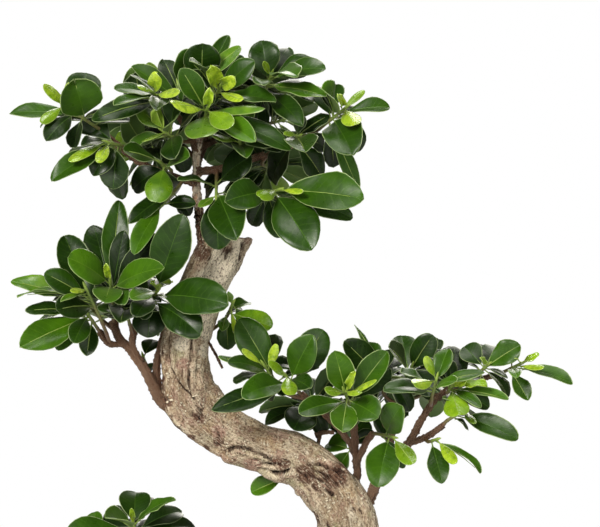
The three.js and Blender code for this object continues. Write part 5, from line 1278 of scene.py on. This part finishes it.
def growBlade(bm, layers, form, dice):
    across, rows = leaf["across"], leaf["rows"]
    if form.get("hidden"):
        across, rows = leaf["hiddenAcross"], leaf["hiddenRows"]
    columns = [-share for share in reversed(across[1:])] + across
    grid = bmesh.ops.create_grid(bm, x_segments=len(columns) - 1, y_segments=rows, size=1)["verts"]
    side = form["along"].cross(form["up"])
    length, half, age, notch = form["length"], form["width"] / 2, form["age"], form.get("notch", 0)
    fold = between(*leaf["fold"], age) * dice.uniform(*leaf["foldSpread"])
    arch = between(*leaf["arch"], age)
    freshness = max(0, 1 - age / leaf["young"])
    spoon = 0
    if leaf["newest"] < age < leaf["young"]:
        least, most = leaf["ruffled"]
        spoon = min(max((length / mm - least) / (most - least), 0), 1)
    widest = leaf["widest"] + dice.uniform(-1, 1) * leaf["widestSpread"]
    blunt = dice.uniform(*leaf["blunt"])
    bow = dice.uniform(*leaf["bow"])
    twist = dice.uniform(-1, 1) * leaf["twist"]
    waves = dice.uniform(*leaf["waves"])
    phase = dice.uniform(0, 2 * math.pi)
    wave = (leaf["wave"] * dice.uniform(*leaf["waveSpread"]) + leaf["ruffle"] * freshness) * (1 - spoon)
    curl = leaf["curl"] * dice.uniform(*leaf["curlSpread"])
    shade = min(max(age + dice.uniform(-1, 1) * leaf["shadeSpread"], 0), 1)
    if age <= leaf["newest"]:
        bow += leaf["curlUp"]
    if notch or age <= leaf["newest"]:
        blunt = leaf["lobed"]
    blister = leaf["blister"] * freshness * (1 - 0.5 * spoon)
    fold *= 1 - 1.35 * spoon
    blunt = between(blunt, leaf["spoonBlunt"], spoon)
    for vertex in grid:
        aside = columns[round((vertex.co.x + 1) / 2 * (len(columns) - 1))]
        row = (vertex.co.y + 1) / 2
        share = leaf["stalk"] + (1 - leaf["stalk"]) * (1 - math.cos(math.pi * row)) / 2
        width = max(half * halfWidthShare(share, widest, blunt), leaf["leastWidth"] * mm)
        out = aside * width
        rise = arch * length * share * (1 - share) * (4 + (bow - 1) * 6.75 * share)
        rise += (fold * abs(aside) ** 1.25 - curl * abs(aside) ** 5) * width
        rise += wave * length * abs(aside) ** 2 * math.sin(waves * 2 * math.pi * share + phase + aside)
        rise += twist * out * share
        rise -= leaf["groove"] * mm * max(0, 1 - abs(aside) / 0.1) * (1 - share)
        rough = noise.noise(Vector((aside * 2.2, share * 6, phase))) * blister * length * 0.4
        rise += rough * (1 - abs(aside) ** 4)
        reached = share - notch * share ** 6 * max(1 - abs(aside) / 0.8, 0)
        vertex.co = form["root"] + form["along"] * length * reached + side * out + form["up"] * rise
        vertex[layers["map"]] = (aside, share, width)
        vertex[layers["age"]] = shade
    faces = {face for vertex in grid for face in vertex.link_faces}
    bmesh.ops.recalc_face_normals(bm, faces=list(faces))
    if next(iter(faces)).normal.dot(form["up"]) < 0:
        bmesh.ops.reverse_faces(bm, faces=list(faces))
    if age < leaf["young"]:
        for face in faces:
            face.material_index = 3
    under = bmesh.ops.solidify(bm, geom=list(faces), thickness=leaf["thickness"] * mm)["geom"]
    for part in under:
        if isinstance(part, bmesh.types.BMFace):
            part.material_index = 1


# Closes a green stem, marks its rings with their ages and gives its faces.
def finishStem(bm, layers, rings, ages):
    closeEnds(bm, rings[-1], rings[0])
    for ring, age in zip(rings, ages):
        for vertex in ring:
            vertex[layers["age"]] = age
            vertex[layers["map"]] = (0, 0.5, 1)
    return {face for ring in rings for vertex in ring for face in vertex.link_faces}

def growStalk(bm, layers, form):
    shares = [-0.02, 0.05, leaf["stalk"], 0.3, 0.6, 0.86]
    arch = between(*leaf["arch"], form["age"])
    drop = leaf["thickness"] * mm * 0.8
    route = [form["root"] + form["along"] * form["length"] * share
             + form["up"] * (arch * form["length"] * 4 * share * (1 - share) - drop * (share > 0.02))
             for share in shares]
    first, middle, last = leaf["stalkRadius"]
    size = min(1, 0.55 + form["width"] / (30 * mm))
    sizes = [first, middle, middle, middle * 0.8, between(middle, last, 0.6), last]
    rings = growRings(bm, route, 6, lambda step, angle: sizes[step] * size * mm)
    return finishStem(bm, layers, rings, [0.1 + 0.35 * form["age"]] * len(rings))

def growStem(bm, layers, shoot):
    limb, share = shoot["on"]
    stops = [row[:3] for row in trunk["route"]] if limb == "trunk" else branches[limb][0]
    route = placedRoute(stops, 24)
    start = route[round(min(share, stemLook["lastSeat"]) * (len(route) - 1))]
    tip = place(shoot["tip"])
    route = smoothRoute([start, place(shoot["base"]), tip], stemLook["steps"])
    last = len(route) - 1
    sizes = []
    for step in range(last + 1):
        knuckle = max(math.cos(step * 2 * math.pi / stemLook["knuckle"]), 0) ** 4
        size = between(stemLook["start"], stemLook["end"], step / last)
        sizes.append(size * (1 + stemLook["knuckleRise"] * knuckle) * mm)
    ahead = (route[-1] - route[-2]).normalized()
    for share, size in stemLook["budRings"]:
        route.append(tip + ahead * stemLook["bud"] * share * mm)
        sizes.append(stemLook["budRadius"] * size * mm)
    rings = growRings(bm, route, stemLook["sides"], lambda step, angle: sizes[step])
    return finishStem(bm, layers, rings, [min(max(1.25 - step / last, 0), 1) for step in range(len(rings))])

def buildShoot(name, shoot, standing, dice):
    bm = bmesh.new()
    layers = bm.verts.layers
    layers = {"map": layers.float_vector.new("leafMap"), "age": layers.float.new("leafAge")}
    for form in standing:
        growBlade(bm, layers, form, dice)
    woody = growStem(bm, layers, shoot)
    for form in standing:
        woody |= growStalk(bm, layers, form)
    for face in woody:
        face.material_index = 2
    finishPiece(bm, "leaves_" + name, [leafFace, leafUnder, greenStem, youngFace], "shoot_" + name)

def limbPlaces():
    spots = placedRoute([row[:3] for row in trunk["route"]], 8)
    sizes = smoothSizes([row[3] * mm for row in trunk["route"]], 8)
    for stops, startRadius, endRadius in branches.values():
        route = placedRoute(stops, 6)
        spots += route
        sizes += [between(startRadius, endRadius, step / len(route)) * mm for step in range(len(route))]
    return {"finder": finderOf(spots), "sizes": sizes}

def buildShoots():
    standing = {name: standingLeaves(name, shoot) for name, shoot in shoots.items()}
    spots = [spot for forms in standing.values() for form in forms for spot in leafSamples(form)]
    packed = finderOf(spots)
    crowd = {"spots": spots, "fresh": [], "finder": packed}
    print("packed leaves:", sum(map(len, standing.values())))
    limbs = limbPlaces()
    cover = {}
    for forms in standing.values():
        for form in forms:
            coverCells(cover, form)
    hidden = {name: tuckedLeaves(name, crowd, cover, limbs) for name in shoots}
    print("tucked leaves:", sum(map(len, hidden.values())), "of", sum(map(len, tucked.values())))
    for seed, (name, shoot) in enumerate(shoots.items()):
        dice = random.Random(seed)
        settleCrowd(crowd)
        standing[name].extend(hidden[name])
        standing[name].extend(innerLeaves(shoot, packed, crowd, cover, limbs, dice))
        buildShoot(name, shoot, standing[name], dice)
    print("all leaves:", sum(map(len, standing.values())))

# The pot: a glazed tray with round corners on four angled feet. Sizes in mm.
pot = {
    "halfLength": 150, "halfWidth": 110, "corner": 34, "height": 88, "wall": 9, "floor": 9, "taper": 20,
    "footHeight": 10, "footInset": 26, "footLength": 44, "footWidth": 18,
    "footSunk": 3, "footBevel": 1.6, "sides": 160, "cornerEase": 0.6, "faceInset": 18,
    "drainRadius": 9, "drainAcross": 62, "drainSides": 32, "drainDepth": 40, "drainMiddle": 15,
}
# Rings of the outside, from the middle of its underside to the rim, and then down inside:
# how far in from the wall, height, and how much of the glaze has drawn back from it.
potRings = [
    [26, 10.0, 0], [6, 10.0, 0], [3, 10.4, 0], [1.2, 11.8, 0.4], [0, 14.5, 0], [0, 34, 0], [0, 56, 0],
    [0, 70, 0], [0, 74.4, 0], [-1.0, 75.6, 0.2], [-5.4, 76.2, 0.2], [-6.6, 77.2, 0.9], [-7, 79.2, 0.15],
    [-7, 84.6, 0.1], [-6.4, 86.8, 0.8], [-5, 88, 0.9], [0, 88.4, 0.15], [6.4, 88, 0.3], [8.2, 87.2, 0.9],
    [9, 85.2, 0.3], [9, 60, 0], [9, 30, 0], [10, 22, 0], [14, 19, 0],
]

def roundedSpot(halfLength, halfWidth, corner, share):
    straightX, straightY = 2 * (halfLength - corner), 2 * (halfWidth - corner)
    bow = math.pi * corner / 2
    run = share * (2 * straightX + 2 * straightY + 4 * bow)
    sides = [(straightX, (1, 0)), (straightY, (0, 1)), (straightX, (-1, 0)), (straightY, (0, -1))]
    spot = Vector((-halfLength + corner, -halfWidth))
    for length, heading in sides:
        heading = Vector(heading)
        left = Vector((-heading.y, heading.x))
        if run <= length:
            return spot + heading * run
        spot = spot + heading * length
        run -= length
        if run <= bow:
            angle = run / corner
            return spot + left * corner + (heading * math.sin(angle) - left * math.cos(angle)) * corner
        spot = spot + (heading + left) * corner
        run -= bow
    return spot

def wallSpot(inset, height, share):
    rise = (height - pot["footHeight"]) / (pot["height"] - pot["footHeight"])
    narrow = pot["taper"] * (1 - rise) + inset
    corner = max(pot["corner"] - pot["cornerEase"] * inset, 1)
    flat = roundedSpot(pot["halfLength"] - narrow, pot["halfWidth"] - narrow, corner, share)
    return Vector((flat.x, flat.y, height)) * mm

def buildPot():
    bm = bmesh.new()
    edge = bm.verts.layers.float.new("potEdge")
    ring = bmesh.ops.create_circle(bm, segments=pot["sides"], radius=mm)["verts"]
    first = ring
    for index, (inset, height, worn) in enumerate(potRings):
        ring = nextRing(bm, ring) if index else ring
        for side, vertex in enumerate(ring):
            vertex.co = wallSpot(inset, height, side / pot["sides"])
            vertex[edge] = worn
    for end in (first, ring):
        face = bmesh.ops.contextual_create(bm, geom=end)["faces"][0]
        bmesh.ops.inset_individual(bm, faces=[face], thickness=pot["faceInset"] * mm)
    bmesh.ops.recalc_face_normals(bm, faces=bm.faces)
    whole = newObject("potBody", newMesh("potBody", bm))
    bm = bmesh.new()
    radius = pot["drainRadius"] * mm
    for side in (-1, 1):
        made = bmesh.ops.create_cone(bm, cap_ends=True, segments=pot["drainSides"], radius1=radius,
                                     radius2=radius, depth=pot["drainDepth"] * mm)["verts"]
        middle = (side * pot["drainAcross"] * mm, 0, pot["drainMiddle"] * mm)
        bmesh.ops.translate(bm, verts=made, vec=middle)
    cutter = newObject("drains", newMesh("drains", bm))
    cut = whole.modifiers.new("drains", "BOOLEAN")
    cut.operation = "DIFFERENCE"
    cut.solver = "EXACT"
    cut.object = cutter
    finished = bpy.data.meshes.new_from_object(whole.evaluated_get(bpy.context.evaluated_depsgraph_get()))
    bpy.data.objects.remove(whole)
    bpy.data.objects.remove(cutter)
    bm = bmesh.new()
    bm.from_mesh(finished)
    for side in (-1, 1):
        for end in (-1, 1):
            growFoot(bm, side, end)
    finishPiece(bm, "glazedPot", [potGlaze], "pot")

# An L-shaped foot under a corner: a square plate with its inner quarter taken away, deepened and rounded.
def growFoot(bm, side, end):
    made = bmesh.ops.create_grid(bm, x_segments=2, y_segments=2, size=1)["verts"]
    cornerX = side * (pot["halfLength"] - pot["footInset"]) * mm
    cornerY = end * (pot["halfWidth"] - pot["footInset"]) * mm
    runs = {-1: 0, 0: pot["footWidth"] * mm, 1: pot["footLength"] * mm}
    for vertex in made:
        runX, runY = runs[round(vertex.co.x)], runs[round(vertex.co.y)]
        vertex.co = (cornerX - side * runX, cornerY - end * runY, 0)
    inmost = max(made, key=lambda vertex: -side * vertex.co.x - end * vertex.co.y)
    faces = {face for vertex in made for face in vertex.link_faces}
    gone = inmost.link_faces[0]
    faces.discard(gone)
    bmesh.ops.delete(bm, geom=[gone], context="FACES")
    top = bmesh.ops.extrude_face_region(bm, geom=list(faces))["geom"]
    raised = [part for part in top if isinstance(part, bmesh.types.BMVert)]
    bmesh.ops.translate(bm, verts=raised, vec=(0, 0, (pot["footHeight"] + pot["footSunk"]) * mm))
    foot = {face for vertex in raised for face in vertex.link_faces} | faces
    edges = list({edge for face in foot if face.is_valid for edge in face.edges})
    bmesh.ops.bevel(bm, geom=edges, offset=pot["footBevel"] * mm, segments=2, profile=0.5, affect="EDGES",
                    material=-1, clamp_overlap=True)

# The soil fills the pot and rises to a mound at the trunk.
soil = {
    "gap": 0.5, "bottom": 19.3, "lowRing": [0.5, 26], "sides": 150, "rough": 0.9,
    # Inset from the wall and height of each ring, from the edge to the mound.
    "rings": [[0, 74], [4, 74.6], [9, 75.2], [15, 75.8], [22, 76.4], [30, 77], [38, 78.2], [46, 79.6],
              [54, 81], [62, 82], [72, 82.3], [84, 82.5]],
    "grit": 2600, "handful": 40, "gritSize": [0.9, 2.1],
}

def soilSpot(inset, height, share):
    spot = wallSpot(pot["wall"] + soil["gap"] + inset, height, share)
    spot.z += (noise.noise(spot * 90) + noise.noise(spot * 300) * 0.5) * soil["rough"] * mm
    return spot

def buildSoil():
    bm = bmesh.new()
    first = bmesh.ops.create_circle(bm, segments=soil["sides"], radius=mm)["verts"]
    ring = first
    for side, vertex in enumerate(ring):
        vertex.co = wallSpot(pot["wall"] + soil["gap"] + 4, soil["bottom"], side / soil["sides"])
    for inset, height in [soil["lowRing"], *soil["rings"]]:
        ring = nextRing(bm, ring)
        for side, vertex in enumerate(ring):
            vertex.co = soilSpot(inset, height, side / soil["sides"])
    closeEnds(bm, ring, first)
    bm.verts.layers.float.new("grainTone")
    finishPiece(bm, "soilBed", [soilEarth], "soil")

def growStone(bm, tone, dice):
    levels = soil["rings"]
    span = dice.random() ** 0.8 * (levels[-1][0] + 20)
    before = max((level for level in levels if level[0] <= span), key=lambda level: level[0])
    after = min((level for level in levels if level[0] > span), key=lambda level: level[0], default=before)
    height = between(before[1], after[1], (span - before[0]) / max(after[0] - before[0], 1))
    spot = soilSpot(1.5 + span * 0.97, min(height, levels[-1][1]), dice.random())
    size = between(*soil["gritSize"], dice.random() ** 2) * mm
    shade = dice.random()
    about = Quaternion((0, 0, 1), dice.uniform(0, 6))
    for vertex in bmesh.ops.create_icosphere(bm, subdivisions=1, radius=size)["verts"]:
        vertex.co *= dice.uniform(0.75, 1.15)
        vertex.co.z *= 0.75
        vertex.co = spot + about @ vertex.co
        vertex[tone] = shade

# Stones are grown a few at a time, because every step on a large mesh is slow.
def buildGrit():
    whole = bmesh.new()
    dice = random.Random(41)
    handful = bpy.data.meshes.new("handful")
    for _ in range(soil["grit"] // soil["handful"]):
        bm = bmesh.new()
        tone = bm.verts.layers.float.new("grainTone")
        for _ in range(soil["handful"]):
            growStone(bm, tone, dice)
        bm.to_mesh(handful)
        bm.free()
        whole.from_mesh(handful)
    bpy.data.meshes.remove(handful)
    finishPiece(whole, "soilGrit", [soilGrit], "soil")

print("studio")
setUpStudio()
print("trunk and branches")
buildTrunk()
buildRoots()
buildBranches()
print("leafy shoots")
buildShoots()
print("pot and soil")
buildPot()
buildSoil()
buildGrit()
print("done")
